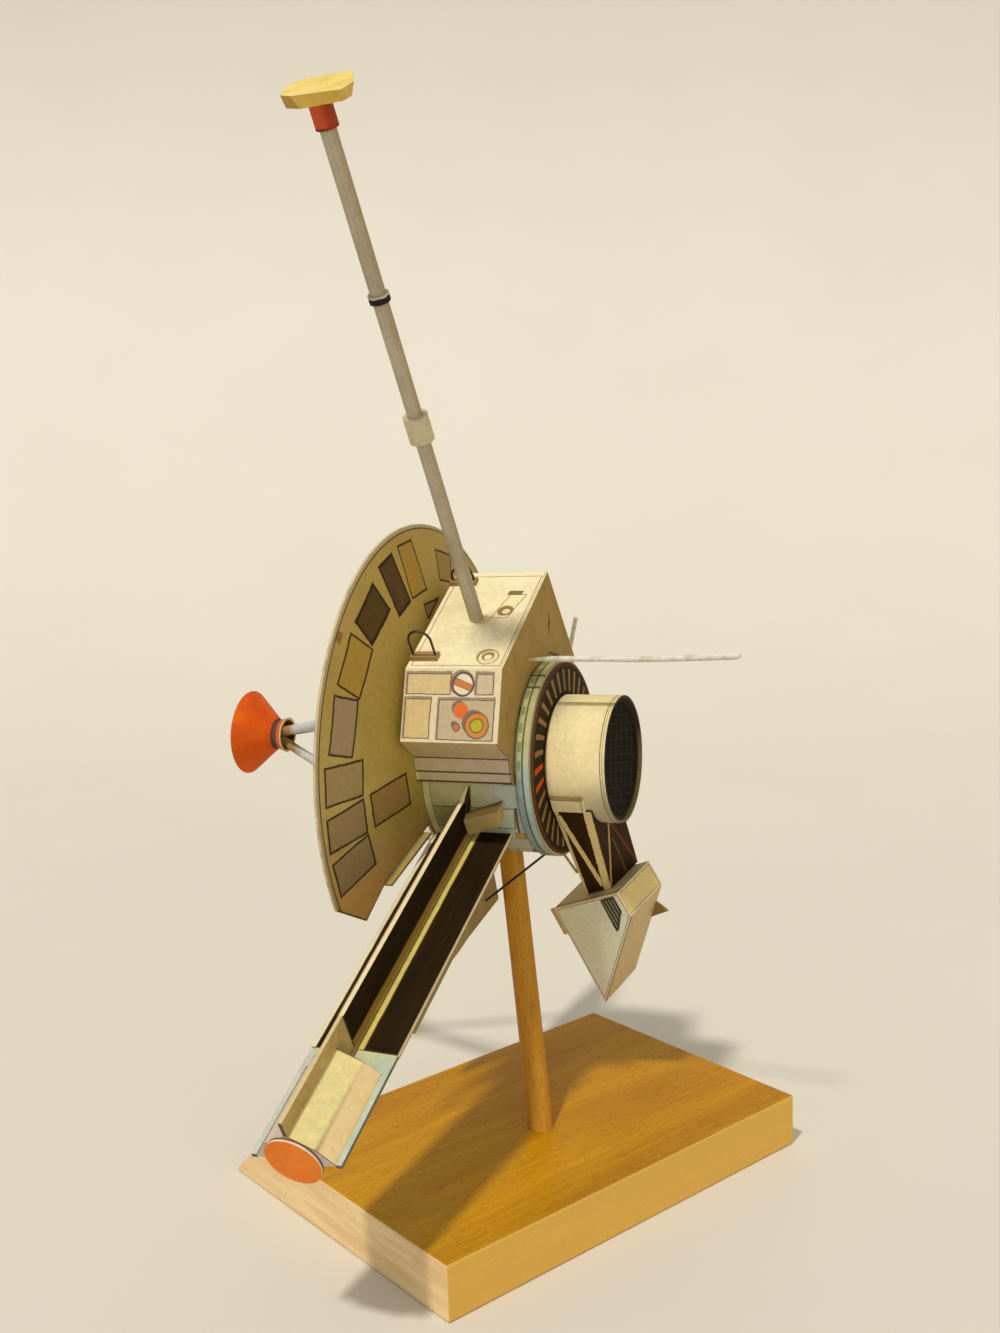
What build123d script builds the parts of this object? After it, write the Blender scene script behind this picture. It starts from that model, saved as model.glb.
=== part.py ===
from build123d import *
import math
import os

# Card model of a deep-space probe on a dowel in a bevelled beech block. Millimetres, +Z up.
# World frame: X along the block's length, Y across it (+Y is the bevelled side),
# origin at the centre of the block's underside.
# Probe frame: x along the dish's axis (-x is where the dish looks, +x the adapter end),
# z along the mast, y across, origin on the axis at the rim ring's left face.

# ---------------------------------------------------------------- stand
BASE_LENGTH = 150.0
BASE_WIDTH = 118.0
BASE_THICKNESS = 17.6
BASE_BEVEL = 19.3
BASE_EDGE_ROUND = 0.6
DOWEL_DIAMETER = 8.2
DOWEL_FOOT_X = -1.9
DOWEL_FOOT_Y = -15.9
DOWEL_LEAN = 18.87
DOWEL_HEADING = 63.76
DOWEL_SOCKET_DEPTH = 12.0
DOWEL_LENGTH_ABOVE = 118.0
DOWEL_CLEARANCE = 0.05

# ---------------------------------------------------------------- probe frame
PROBE_ORIGIN = (19.0, -2.6, 137.1)
PROBE_HEADING = -61.62
PROBE_PITCH = 1.48
PROBE_ROLL = 29.24

# ---------------------------------------------------------------- card and wire
CARD = 0.8
SEAT = 0.05
WIRE_DIAMETER = 0.8

# ---------------------------------------------------------------- drum, rings, louvers, adapter
DRUM_RADIUS = 31.8
RING_RADIUS = 32.6
RING_INNER_RADIUS = 27.0
RING_THICKNESS = 2.35
LOUVER_RADIUS = 31.6
LOUVER_THICKNESS = 0.7
ADAPTER_RADIUS = 20.9
ADAPTER_LENGTH = 20.0
GRID_RECESS = 1.2

# ---------------------------------------------------------------- dish
DISH_RADIUS = 78.6
DISH_RIM_X = -45.2
DISH_SEAT_X = -33.0
DISH_CUT_ANGLE = -92.6
DISH_KINK_RADIUS = 56.5
DISH_CORNER_ANGLE = -96.3
DISH_NOTCH_END = -136.0
DISH_CORNER_RIM_ANGLE = -85.6
DISH_CORNER_RADIUS = 70.1
DISH_NOTCH_INNER_RADIUS = 32.6
DISH_FLANGE_HEIGHT = 2.8
DISH_FLANGE_INNER = 36.0
DISH_FLANGE_OUTER = 58.5
# how far beyond the rim the tools that cut round the dish reach, times its radius
BEYOND_RIM = 1.3

# ---------------------------------------------------------------- feed horn and its tripod
HORN_OFFSET = 7.0
HORN_TILT = 3.4
HORN_MOUTH_X = -112.5
HORN_MOUTH_RADIUS = 14.7
HORN_THROAT_X = -103.4
HORN_THROAT_RADIUS = 6.8
HORN_BAND_LENGTH = 1.9
BAND_END_RADIUS = 5.2
NECK_LENGTH = 3.7
NECK_START_RADIUS = 4.9
NECK_MOUTH_RADIUS = 6.1
NECK_INSIDE_RADIUS = 3.8
LEG_DIAMETER = 3.2
LEG_ANGLES = (100.0, 220.0, 340.0)
LEG_START_RADIUS = 1.9
LEG_START_X = -100.2
LEG_FOOT_RADIUS = 34.0

# ---------------------------------------------------------------- equipment box on the drum
BOX_LEFT_X = -33.4
BOX_RIGHT_X = -0.6
BOX_TOP_Z = 49.4
BOX_FAR_Y = 36.8
BOX_NEAR_Y = -14.4
PANEL_BOTTOM = (-31.7, 33.9)
CHAMFER_BOTTOM = (-27.1, 23.4)
SKIRT_BOTTOM = (-30.2, 15.6)
FAR_WALL_BOTTOM = (40.6, 10.9)
FAR_CHAMFER_BOTTOM = (34.0, 3.0)

# ---------------------------------------------------------------- mast and sensor block
MAST_X = -17.6
MAST_Y = 11.2
MAST_DIAMETER = 4.6
MAST_COLLAR_Z = 116.0
MAST_COLLAR_LENGTH = 8.4
MAST_COLLAR_DIAMETER = 7.6
MAST_RING_Z = 160.6
MAST_RING_LENGTH = 2.4
MAST_RING_DIAMETER = 6.2
MAST_CAP_Z = 209.6
MAST_CAP_LENGTH = 7.9
MAST_CAP_DIAMETER = 6.4
SENSOR_HEIGHT = 3.9
# corners from the mast's centre: x, y of the underside; x, y of the top, which overhangs in front
SENSOR_CORNERS = (
    (-1.7, -8.1, -2.5, -9.7),
    (10.1, -6.8, 12.5, -10.7),
    (11.2, -3.6, 13.9, -5.6),
    (7.6, 4.9, 9.0, 4.9),
    (-5.4, 3.7, -5.4, 3.7),
    (-8.2, 1.2, -8.2, 1.2),
    (-6.9, -5.6, -6.4, -7.5),
)

# ---------------------------------------------------------------- pads and wire loops on the box
PAD_LENGTH = 9.4
PAD_WIDTH = 3.2
PAD_HEIGHT = 1.4
LOOP_SPAN = 7.6
#            name,   x of pad centre, y of pad centre, straight height of its wire loop
PAD_TABLE = (("near", -28.4, -9.2, 5.4), ("far", -28.6, 31.0, 1.2))

# ---------------------------------------------------------------- whip aerials
WHIP_Y = 3.7
WHIP_Z = 38.8
WHIP_LENGTH = 69.0
WHIP_DIAMETER = 1.9
WHIP_POINT = 9.0
WHIP_POINT_RADIUS = 0.25
SHORT_WHIP_DIAMETER = 1.6

# ---------------------------------------------------------------- finned boom
BOOM_X = -18.6
BOOM_Z = -8.0
BOOM_PITCH = 4.0
BOOM_YAW = 2.0
BOOM_ROOT = 29.5
BOOM_LENGTH = 123.5
FIN_REACH = 14.0
FIN_THICKNESS = 1.8
FIN_GAP = 0.3
SPINE_RADIUS = 1.3
LOWER_FIN_REACH = 9.6
GENERATOR_WIDE = 12.2
GENERATOR_TALL = 8.9
GENERATOR_UNDER = 7.6
#    name,   turn from the probe's +x side, reach, reach of the generator's body beside it
FIN_TABLE = (
    ("right", 0.0, FIN_REACH, GENERATOR_WIDE),
    ("up", 90.0, FIN_REACH, GENERATOR_TALL),
    ("left", 188.0, FIN_REACH, GENERATOR_WIDE),
    ("down", 270.0, LOWER_FIN_REACH, GENERATOR_UNDER),
)
GENERATOR_LENGTH = 36.7
GENERATOR_SETBACK = 6.8
GENERATOR_FOLD = 9.2
# the body's section: distance from the boom's centre line, turn from the probe's +x side
GENERATOR_CORNERS = (
    (GENERATOR_WIDE, 0.0),
    (GENERATOR_FOLD, 32.0),
    (GENERATOR_TALL, 90.0),
    (GENERATOR_FOLD, 156.0),
    (GENERATOR_WIDE, 188.0),
    (GENERATOR_UNDER, 196.0),
    (GENERATOR_UNDER, 230.0),
    (GENERATOR_UNDER, 270.0),
    (GENERATOR_UNDER, 315.0),
    (GENERATOR_UNDER, 352.0),
)
END_DISC_RADIUS = 8.3
END_DISC_THICKNESS = 1.2
GENERATOR_FIN_THICKNESS = 1.2

# ---------------------------------------------------------------- lower fin's gusset, bracket, stay
#                 along the boom, depth below its centre line
GUSSET_OUTLINE = ((27.0, 33.0), (43.0, 29.0), (62.0, 24.4), (95.0, 24.4), (104.0, 14.0), (24.0, 14.0))
GUSSET_THICKNESS = 0.8
GUSSET_DOWEL_GAP = 0.3
STAY_ANCHOR_ALONG = 36.0
STAY_ANCHOR_DEPTH = 25.5
STAY_RING_SPOT = (0.6, -25.2, -20.3)
BRACKET_OUTLINE = ((-18.3, 4.4), (-5.2, 9.0), (-6.2, 2.8), (-18.3, -2.2))
BRACKET_FRONT_Y = -36.0

# ---------------------------------------------------------------- truss and pod below the adapter
TAB_X = 6.5
TAB_LENGTH = 10.8
TAB_HEIGHT = 5.4
TAB_TOP_Z = 2.2
TAB_FRONT_Y = -22.4
TRUSS_TOP_Z = -3.6
#            truss corners at its top, probe x and y
TRUSS_TOP = ((6.2, -21.5), (19.0, -21.5), (23.0, -6.4), (10.2, -6.4))
#            truss corners at its foot, along and across the pod's top
TRUSS_FOOT = ((-18.7, 4.9), (-6.5, 4.9), (-6.5, 22.2), (-18.7, 22.2))
ROD_DIAMETER = 0.9
ROD_START = (-22.3, -22.8)
ROD_END = (-17.0, -36.9)
POD_CORNER = (20.8, -22.0, -40.3)
POD_YAW = -9.45
POD_TILT = -29.19
POD_LEAN = -13.72
POD_TOP_LENGTH = 31.6
POD_SHOULDER = 9.4
POD_TIP = (-33.3, -38.8)
POD_THICKNESS = 20.4
POD_TAB_LENGTH = 10.4
POD_TAB_REACH = 1.8
POD_FIN = ((-6.2, -15.0), (-3.4, -19.3), (-12.0, -20.0))
SHORT_WHIP_START = (-2.6, 41.6, 11.4)
SHORT_WHIP_END = (3.2, 42.0, 26.8)


# The probe's own frame: turned about Z, pitched up along the dish's axis, then rolled about that axis
PROBE = Plane(
    Location(PROBE_ORIGIN)
    * Rotation(0, 0, PROBE_HEADING)
    * Rotation(0, -PROBE_PITCH, 0)
    * Rotation(PROBE_ROLL, 0, 0)
)
DISH_AXIS = Axis(PROBE.origin, PROBE.x_dir)


def spot(x, y, z):
    """World position of a probe-frame point."""
    return PROBE.from_local_coords(Vector(x, y, z))


def across(x):
    """Plane across the dish axis: its sketch X is the probe's y, its sketch Y the probe's z."""
    return Plane(origin=spot(x, 0, 0), x_dir=PROBE.y_dir, z_dir=PROBE.x_dir)


def lengthwise(y):
    """Plane along the dish axis facing -y: its sketch X is the probe's x, its sketch Y the probe's z."""
    return Plane(origin=spot(0, y, 0), x_dir=PROBE.x_dir, z_dir=PROBE.y_dir * -1)


def level(z):
    """Plane square to the mast: its sketch axes are the probe's x and y."""
    return PROBE.offset(z)


def aim(start, end):
    """Plane at start that looks towards end, and the distance between them."""
    reach = end - start
    return Plane(origin=start, z_dir=reach), reach.length


def round_bar(start, end, diameter):
    """Straight round bar between two world points, inside the active part."""
    plane, length = aim(start, end)
    with BuildSketch(plane) as end_face:
        Circle(diameter / 2)
    extrude(end_face.sketch, amount=length)


beyond_rim = DISH_RADIUS * BEYOND_RIM
DISH_SLOPE = (DISH_SEAT_X - DISH_RIM_X) / (DISH_RADIUS - DRUM_RADIUS)


def dish_back(radius):
    """Probe x of the dish's back face at a distance from the axis."""
    return DISH_SEAT_X - (radius - DRUM_RADIUS) * DISH_SLOPE


def clear_of_dish():
    """Remove from the active part all that lies in or before the dish."""
    with BuildSketch(lengthwise(0)) as before_back:
        with BuildLine():
            Polyline(
                (dish_back(0) + SEAT, 0),
                (dish_back(beyond_rim) + SEAT, beyond_rim),
                (dish_back(beyond_rim) - DISH_RADIUS, beyond_rim),
                (dish_back(beyond_rim) - DISH_RADIUS, 0),
                close=True,
            )
        make_face()
    revolve(before_back.sketch, axis=DISH_AXIS, mode=Mode.SUBTRACT)


def clear_of_drum(radius, left, right):
    """Remove from the active part all that lies within a radius of the dish axis."""
    with BuildSketch(across(left)) as end_face:
        Circle(radius)
    extrude(end_face.sketch, amount=right - left, mode=Mode.SUBTRACT)


# Dowel: from the socket in the block up into the drum, leaning back along its heading
lean = math.radians(DOWEL_LEAN)
heading = math.radians(DOWEL_HEADING)
dowel_direction = Vector(
    math.sin(lean) * math.cos(heading),
    math.sin(lean) * math.sin(heading),
    math.cos(lean),
)
dowel_foot = Vector(DOWEL_FOOT_X, DOWEL_FOOT_Y, BASE_THICKNESS)
dowel_end = dowel_foot - dowel_direction * DOWEL_SOCKET_DEPTH
dowel_top = dowel_foot + dowel_direction * DOWEL_LENGTH_ABOVE


def clear_of_dowel(clearance):
    """Remove from the active part the dowel's way through it."""
    plane, length = aim(dowel_end, dowel_top)
    with BuildSketch(plane) as end_face:
        Circle(DOWEL_DIAMETER / 2 + clearance)
    extrude(end_face.sketch, amount=length, mode=Mode.SUBTRACT)


finished = []


def keep(piece, name):
    """Label a finished piece and queue it for export."""
    piece.part.label = name
    finished.append(piece)


# ---------------------------------------------------------------- stand pieces
with BuildPart() as base_block:
    with BuildSketch(Plane.YZ.offset(-BASE_LENGTH / 2)):
        with BuildLine():
            Polyline(
                (-BASE_WIDTH / 2, 0),
                (BASE_WIDTH / 2, 0),
                (BASE_WIDTH / 2 - BASE_BEVEL, BASE_THICKNESS),
                (-BASE_WIDTH / 2, BASE_THICKNESS),
                close=True,
            )
        make_face()
    extrude(amount=BASE_LENGTH)
    fillet(base_block.edges(), BASE_EDGE_ROUND)
    clear_of_dowel(DOWEL_CLEARANCE)
keep(base_block, "base_block")

with BuildPart() as stand_dowel:
    round_bar(dowel_end + dowel_direction * DOWEL_CLEARANCE, dowel_top, DOWEL_DIAMETER)
keep(stand_dowel, "stand_dowel")

# ---------------------------------------------------------------- drum, rings, louver disc, adapter
drum_left = dish_back(DRUM_RADIUS - CARD) + SEAT
with BuildPart() as drum_shell:
    with BuildSketch(across(drum_left)):
        Circle(DRUM_RADIUS)
        Circle(DRUM_RADIUS - CARD, mode=Mode.SUBTRACT)
    extrude(amount=-drum_left)
    clear_of_dowel(DOWEL_CLEARANCE)
keep(drum_shell, "drum_shell")

ring_x = 0.0
for ring_name in ("rim_ring_inner", "rim_ring_outer"):
    with BuildPart() as rim_ring:
        with BuildSketch(across(ring_x)):
            Circle(RING_RADIUS)
            Circle(RING_INNER_RADIUS, mode=Mode.SUBTRACT)
        extrude(amount=RING_THICKNESS)
    keep(rim_ring, ring_name)
    ring_x += RING_THICKNESS

louver_right = ring_x + LOUVER_THICKNESS
with BuildPart() as louver_disc:
    with BuildSketch(across(ring_x)):
        Circle(LOUVER_RADIUS)
    extrude(amount=LOUVER_THICKNESS)
keep(louver_disc, "louver_disc")

adapter_right = louver_right + ADAPTER_LENGTH
with BuildPart() as adapter_cylinder:
    with BuildSketch(across(louver_right)):
        Circle(ADAPTER_RADIUS)
        Circle(ADAPTER_RADIUS - CARD, mode=Mode.SUBTRACT)
    extrude(amount=ADAPTER_LENGTH)
keep(adapter_cylinder, "adapter_cylinder")

with BuildPart() as grid_disc:
    with BuildSketch(across(adapter_right - GRID_RECESS - CARD)):
        Circle(ADAPTER_RADIUS - CARD - SEAT)
    extrude(amount=CARD)
keep(grid_disc, "grid_disc")

# ---------------------------------------------------------------- dish
cut_angle = math.radians(DISH_CUT_ANGLE)
corner_angle = math.radians(DISH_CORNER_ANGLE)
rim_angle = math.radians(DISH_CORNER_RIM_ANGLE)
notch_end_angle = math.radians(DISH_NOTCH_END)
notch_middle = (cut_angle + notch_end_angle) / 2
with BuildPart() as dish_notch:
    with BuildSketch(across(DISH_RIM_X - DISH_RADIUS / 2)):
        with BuildLine():
            Polyline(
                (0, 0),
                (DISH_KINK_RADIUS * math.sin(cut_angle), DISH_KINK_RADIUS * math.cos(cut_angle)),
                (DISH_CORNER_RADIUS * math.sin(corner_angle), DISH_CORNER_RADIUS * math.cos(corner_angle)),
                (DISH_RADIUS * math.sin(rim_angle), DISH_RADIUS * math.cos(rim_angle)),
                (beyond_rim * math.sin(rim_angle), beyond_rim * math.cos(rim_angle)),
                (beyond_rim * math.sin(notch_middle), beyond_rim * math.cos(notch_middle)),
                (beyond_rim * math.sin(notch_end_angle), beyond_rim * math.cos(notch_end_angle)),
                close=True,
            )
        make_face()
        Circle(DISH_NOTCH_INNER_RADIUS, mode=Mode.SUBTRACT)
    extrude(amount=DISH_RADIUS)

with BuildPart() as dish_shell:
    with BuildSketch(lengthwise(0)):
        with BuildLine():
            Polyline(
                (dish_back(0), 0),
                (dish_back(DISH_RADIUS), DISH_RADIUS),
                (dish_back(DISH_RADIUS) - CARD, DISH_RADIUS),
                (dish_back(0) - CARD, 0),
                close=True,
            )
        make_face()
    revolve(axis=DISH_AXIS)
    add(dish_notch.part, mode=Mode.SUBTRACT)
keep(dish_shell, "dish_shell")


cut_direction = PROBE.y_dir * math.sin(cut_angle) + PROBE.z_dir * math.cos(cut_angle)
cut_plane = Plane(origin=PROBE.origin, x_dir=cut_direction, z_dir=cut_direction.cross(PROBE.x_dir))

# ---------------------------------------------------------------- feed horn
# The horn looks up a little from the dish's axis; it turns where the tripod meets it
horn_tilt = math.radians(HORN_TILT)
horn_direction = PROBE.x_dir * math.cos(horn_tilt) - PROBE.z_dir * math.sin(horn_tilt)
HORN = Plane(origin=spot(LEG_START_X, 0, HORN_OFFSET), x_dir=horn_direction, z_dir=PROBE.y_dir * -1)
HORN_FLOOR = Plane(origin=HORN.origin, z_dir=horn_direction)


def horn_revolve(points):
    """Turn a profile of (x before the tilt, distance from the horn's axis) points about the horn's axis."""
    with BuildSketch(HORN) as profile:
        with BuildLine():
            Polyline(*[(x - LEG_START_X, r) for x, r in points], close=True)
        make_face()
    revolve(profile.sketch, axis=Axis(HORN.origin, horn_direction))


band_right = HORN_THROAT_X + HORN_BAND_LENGTH
neck_right = band_right + NECK_LENGTH
with BuildPart() as horn_cone:
    horn_revolve(
        (
            (HORN_THROAT_X, 0),
            (HORN_THROAT_X, HORN_THROAT_RADIUS),
            (HORN_MOUTH_X, HORN_MOUTH_RADIUS),
            (HORN_MOUTH_X, HORN_MOUTH_RADIUS - CARD),
            (HORN_THROAT_X - CARD, HORN_THROAT_RADIUS - CARD),
            (HORN_THROAT_X - CARD, 0),
        )
    )
keep(horn_cone, "horn_cone")

with BuildPart() as horn_band:
    horn_revolve(
        (
            (HORN_THROAT_X, 0),
            (HORN_THROAT_X, HORN_THROAT_RADIUS),
            (band_right, BAND_END_RADIUS),
            (band_right, 0),
        )
    )
keep(horn_band, "horn_band")

with BuildPart() as horn_neck:
    horn_revolve(
        (
            (band_right, 0),
            (band_right, NECK_START_RADIUS),
            (neck_right, NECK_MOUTH_RADIUS),
            (neck_right, NECK_MOUTH_RADIUS - CARD),
            (LEG_START_X - SEAT, NECK_INSIDE_RADIUS),
            (LEG_START_X - SEAT, 0),
        )
    )
keep(horn_neck, "horn_neck")

for leg_number, leg_angle in enumerate(LEG_ANGLES, start=1):
    side = math.sin(math.radians(leg_angle))
    rise = math.cos(math.radians(leg_angle))
    leg_start = spot(LEG_START_X, LEG_START_RADIUS * side, HORN_OFFSET + LEG_START_RADIUS * rise)
    leg_foot = spot(dish_back(LEG_FOOT_RADIUS), LEG_FOOT_RADIUS * side, LEG_FOOT_RADIUS * rise)
    with BuildPart() as horn_leg:
        round_bar(leg_start, leg_foot, LEG_DIAMETER)
        with BuildSketch(lengthwise(0)):
            with BuildLine():
                Polyline(
                    (dish_back(0) - CARD - SEAT, 0),
                    (dish_back(DISH_RADIUS) - CARD - SEAT, DISH_RADIUS),
                    (0, DISH_RADIUS),
                    (0, 0),
                    close=True,
                )
            make_face()
        revolve(axis=DISH_AXIS, mode=Mode.SUBTRACT)
        with BuildSketch(HORN_FLOOR):
            Circle(LEG_DIAMETER * 4)
        extrude(amount=-LEG_DIAMETER * 4, mode=Mode.SUBTRACT)
    keep(horn_leg, f"horn_leg_{leg_number}")

# ---------------------------------------------------------------- equipment box
with BuildPart() as equipment_box:
    with BuildSketch(across(BOX_LEFT_X)):
        with BuildLine():
            Polyline(
                (BOX_FAR_Y, BOX_TOP_Z),
                (BOX_NEAR_Y, BOX_TOP_Z),
                PANEL_BOTTOM,
                CHAMFER_BOTTOM,
                SKIRT_BOTTOM,
                (0, 0),
                FAR_CHAMFER_BOTTOM,
                FAR_WALL_BOTTOM,
                close=True,
            )
        make_face()
    extrude(amount=BOX_RIGHT_X - BOX_LEFT_X)
    clear_of_drum(DRUM_RADIUS + SEAT, BOX_LEFT_X, BOX_RIGHT_X)
    clear_of_dish()
keep(equipment_box, "equipment_box")

for pad_name, pad_x, pad_y, loop_straight in PAD_TABLE:
    with BuildPart() as pad:
        with BuildSketch(level(BOX_TOP_Z)):
            with Locations((pad_x, pad_y)):
                Rectangle(PAD_LENGTH, PAD_WIDTH)
        extrude(amount=PAD_HEIGHT)
    keep(pad, f"loop_pad_{pad_name}")
    loop_foot = BOX_TOP_Z + PAD_HEIGHT
    loop_shoulder = loop_foot + loop_straight
    half_span = LOOP_SPAN / 2
    with BuildPart() as wire_loop:
        with BuildLine(lengthwise(pad_y)) as loop_path:
            Line((pad_x - half_span, loop_foot), (pad_x - half_span, loop_shoulder))
            ThreePointArc(
                (pad_x - half_span, loop_shoulder),
                (pad_x, loop_shoulder + half_span),
                (pad_x + half_span, loop_shoulder),
            )
            Line((pad_x + half_span, loop_shoulder), (pad_x + half_span, loop_foot))
        with BuildSketch(Plane(origin=loop_path.line @ 0, z_dir=loop_path.line % 0)):
            Circle(WIRE_DIAMETER / 2)
        sweep()
    keep(wire_loop, f"wire_loop_{pad_name}")

# ---------------------------------------------------------------- mast
with BuildPart() as mast_tube:
    round_bar(spot(MAST_X, MAST_Y, BOX_TOP_Z), spot(MAST_X, MAST_Y, MAST_CAP_Z), MAST_DIAMETER)
keep(mast_tube, "mast_tube")

#              name,          lower end,     length,             diameter
MAST_SLEEVES = (
    ("mast_collar", MAST_COLLAR_Z, MAST_COLLAR_LENGTH, MAST_COLLAR_DIAMETER),
    ("mast_black_ring", MAST_RING_Z, MAST_RING_LENGTH, MAST_RING_DIAMETER),
)
for sleeve_name, sleeve_z, sleeve_length, sleeve_diameter in MAST_SLEEVES:
    with BuildPart() as mast_sleeve:
        with BuildSketch(level(sleeve_z)):
            with Locations((MAST_X, MAST_Y)):
                Circle(sleeve_diameter / 2)
                Circle(MAST_DIAMETER / 2 + SEAT, mode=Mode.SUBTRACT)
        extrude(amount=sleeve_length)
    keep(mast_sleeve, sleeve_name)

with BuildPart() as mast_cap:
    round_bar(
        spot(MAST_X, MAST_Y, MAST_CAP_Z),
        spot(MAST_X, MAST_Y, MAST_CAP_Z + MAST_CAP_LENGTH),
        MAST_CAP_DIAMETER,
    )
keep(mast_cap, "mast_cap")

sensor_foot = MAST_CAP_Z + MAST_CAP_LENGTH
with BuildPart() as sensor_block:
    with BuildSketch(level(sensor_foot)):
        with BuildLine():
            Polyline(*[(MAST_X + x, MAST_Y + y) for x, y, _, _ in SENSOR_CORNERS], close=True)
        make_face()
    with BuildSketch(level(sensor_foot + SENSOR_HEIGHT)):
        with BuildLine():
            Polyline(*[(MAST_X + x, MAST_Y + y) for _, _, x, y in SENSOR_CORNERS], close=True)
        make_face()
    loft(ruled=True)
keep(sensor_block, "sensor_block")

# ---------------------------------------------------------------- whip aerials
whip_plane = Plane(origin=spot(BOX_RIGHT_X + SEAT, WHIP_Y, WHIP_Z), x_dir=PROBE.x_dir, z_dir=PROBE.y_dir * -1)
with BuildPart() as long_whip:
    with BuildSketch(whip_plane):
        with BuildLine():
            Polyline(
                (0, 0),
                (0, WHIP_POINT_RADIUS),
                (WHIP_POINT, WHIP_DIAMETER / 2),
                (WHIP_LENGTH - WHIP_DIAMETER, WHIP_DIAMETER / 2),
                (WHIP_LENGTH, WHIP_DIAMETER / 4),
                (WHIP_LENGTH, 0),
                close=True,
            )
        make_face()
    revolve(axis=Axis(whip_plane.origin, whip_plane.x_dir))
keep(long_whip, "long_whip")

with BuildPart() as short_whip:
    round_bar(spot(*SHORT_WHIP_START), spot(*SHORT_WHIP_END), SHORT_WHIP_DIAMETER)
keep(short_whip, "short_whip")

# ---------------------------------------------------------------- boom
boom_yaw = math.radians(BOOM_YAW)
boom_pitch = math.radians(BOOM_PITCH)
boom_along = (
    PROBE.y_dir * (-math.cos(boom_pitch) * math.cos(boom_yaw))
    - PROBE.x_dir * (math.cos(boom_pitch) * math.sin(boom_yaw))
    + PROBE.z_dir * math.sin(boom_pitch)
)
boom_sideways = PROBE.x_dir * math.cos(boom_yaw) - PROBE.y_dir * math.sin(boom_yaw)
BOOM = Plane(origin=spot(BOOM_X, 0, BOOM_Z), x_dir=boom_sideways, z_dir=boom_along)
BOOM_SIDE = Plane(origin=BOOM.origin, x_dir=BOOM.z_dir, z_dir=BOOM.x_dir)
fin_start = BOOM_ROOT - FIN_REACH / 2


def fin(start, end, inner, reach, thickness, turn):
    """Flat fin along the boom, turned about its centre line, from an inner radius to its reach."""
    with BuildSketch(BOOM.offset(start)) as section:
        with Locations(Location((0, 0, 0), turn)):
            with Locations(((inner + reach) / 2, 0)):
                Rectangle(reach - inner, thickness)
    extrude(section.sketch, amount=end - start)


def clear_of_fins():
    """Remove from the active part the boom's four fins with a gap round them."""
    for _, turn, reach, _ in FIN_TABLE:
        with BuildSketch(BOOM.offset(fin_start)) as section:
            with Locations(Location((0, 0, 0), turn)):
                with Locations((reach / 2, 0)):
                    Rectangle(reach + FIN_GAP * 2, FIN_THICKNESS + FIN_GAP * 2)
        extrude(section.sketch, amount=BOOM_LENGTH, mode=Mode.SUBTRACT)


fin_core = math.hypot(SPINE_RADIUS, FIN_THICKNESS / 2)
for fin_name, fin_turn, fin_reach, _ in FIN_TABLE:
    with BuildPart() as boom_fin:
        fin(fin_start, BOOM_LENGTH, fin_core, fin_reach, FIN_THICKNESS, fin_turn)
        clear_of_drum(DRUM_RADIUS + SEAT, DISH_RIM_X, 0)
        clear_of_dish()
    keep(boom_fin, f"boom_fin_{fin_name}")
generator_start = BOOM_LENGTH + GENERATOR_SETBACK
generator_end = BOOM_LENGTH + GENERATOR_LENGTH
with BuildPart() as boom_spine:
    with BuildSketch(BOOM.offset(fin_start)):
        Circle(SPINE_RADIUS)
    extrude(amount=generator_start - fin_start)
    clear_of_drum(DRUM_RADIUS + SEAT, DISH_RIM_X, 0)
keep(boom_spine, "boom_spine")

generator_outline = []
for corner_radius, corner_turn in GENERATOR_CORNERS:
    corner_angle = math.radians(corner_turn)
    generator_outline.append((corner_radius * math.cos(corner_angle), corner_radius * math.sin(corner_angle)))
with BuildPart() as generator_body:
    with BuildSketch(BOOM.offset(generator_start)):
        with BuildLine():
            Polyline(*generator_outline, close=True)
        make_face()
    extrude(amount=generator_end - generator_start)
keep(generator_body, "generator_body")
for fin_name, fin_turn, fin_reach, body_reach in FIN_TABLE:
    with BuildPart() as generator_fin:
        fin(BOOM_LENGTH, generator_start, fin_core, fin_reach, GENERATOR_FIN_THICKNESS, fin_turn)
        fin(generator_start, generator_end, body_reach + SEAT, fin_reach, GENERATOR_FIN_THICKNESS, fin_turn)
    keep(generator_fin, f"generator_fin_{fin_name}")
with BuildPart() as end_disc:
    with BuildSketch(BOOM.offset(generator_end)):
        Circle(END_DISC_RADIUS)
    extrude(amount=END_DISC_THICKNESS)
keep(end_disc, "generator_end_disc")

# Flange glued along the dish's cut edge, where the left fin passes it

with BuildPart() as dish_flange:
    with BuildSketch(cut_plane):
        with BuildLine():
            Polyline(
                (DISH_FLANGE_INNER, dish_back(DISH_FLANGE_INNER) + SEAT),
                (DISH_FLANGE_OUTER, dish_back(DISH_FLANGE_OUTER) + SEAT),
                (DISH_FLANGE_OUTER, dish_back(DISH_FLANGE_OUTER) + DISH_FLANGE_HEIGHT),
                (DISH_FLANGE_INNER, dish_back(DISH_FLANGE_INNER) + DISH_FLANGE_HEIGHT),
                close=True,
            )
        make_face()
    extrude(amount=-CARD)
    clear_of_fins()
keep(dish_flange, "dish_edge_flange")

with BuildPart() as boom_gusset:
    with BuildSketch(BOOM_SIDE.offset(-GUSSET_THICKNESS / 2)):
        with BuildLine():
            Polyline(*[(along, depth + SEAT) for along, depth in GUSSET_OUTLINE], close=True)
        make_face()
    extrude(amount=GUSSET_THICKNESS)
    clear_of_drum(DRUM_RADIUS + SEAT, DISH_RIM_X, 0)
    clear_of_dowel(GUSSET_DOWEL_GAP)
keep(boom_gusset, "boom_gusset")

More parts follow.
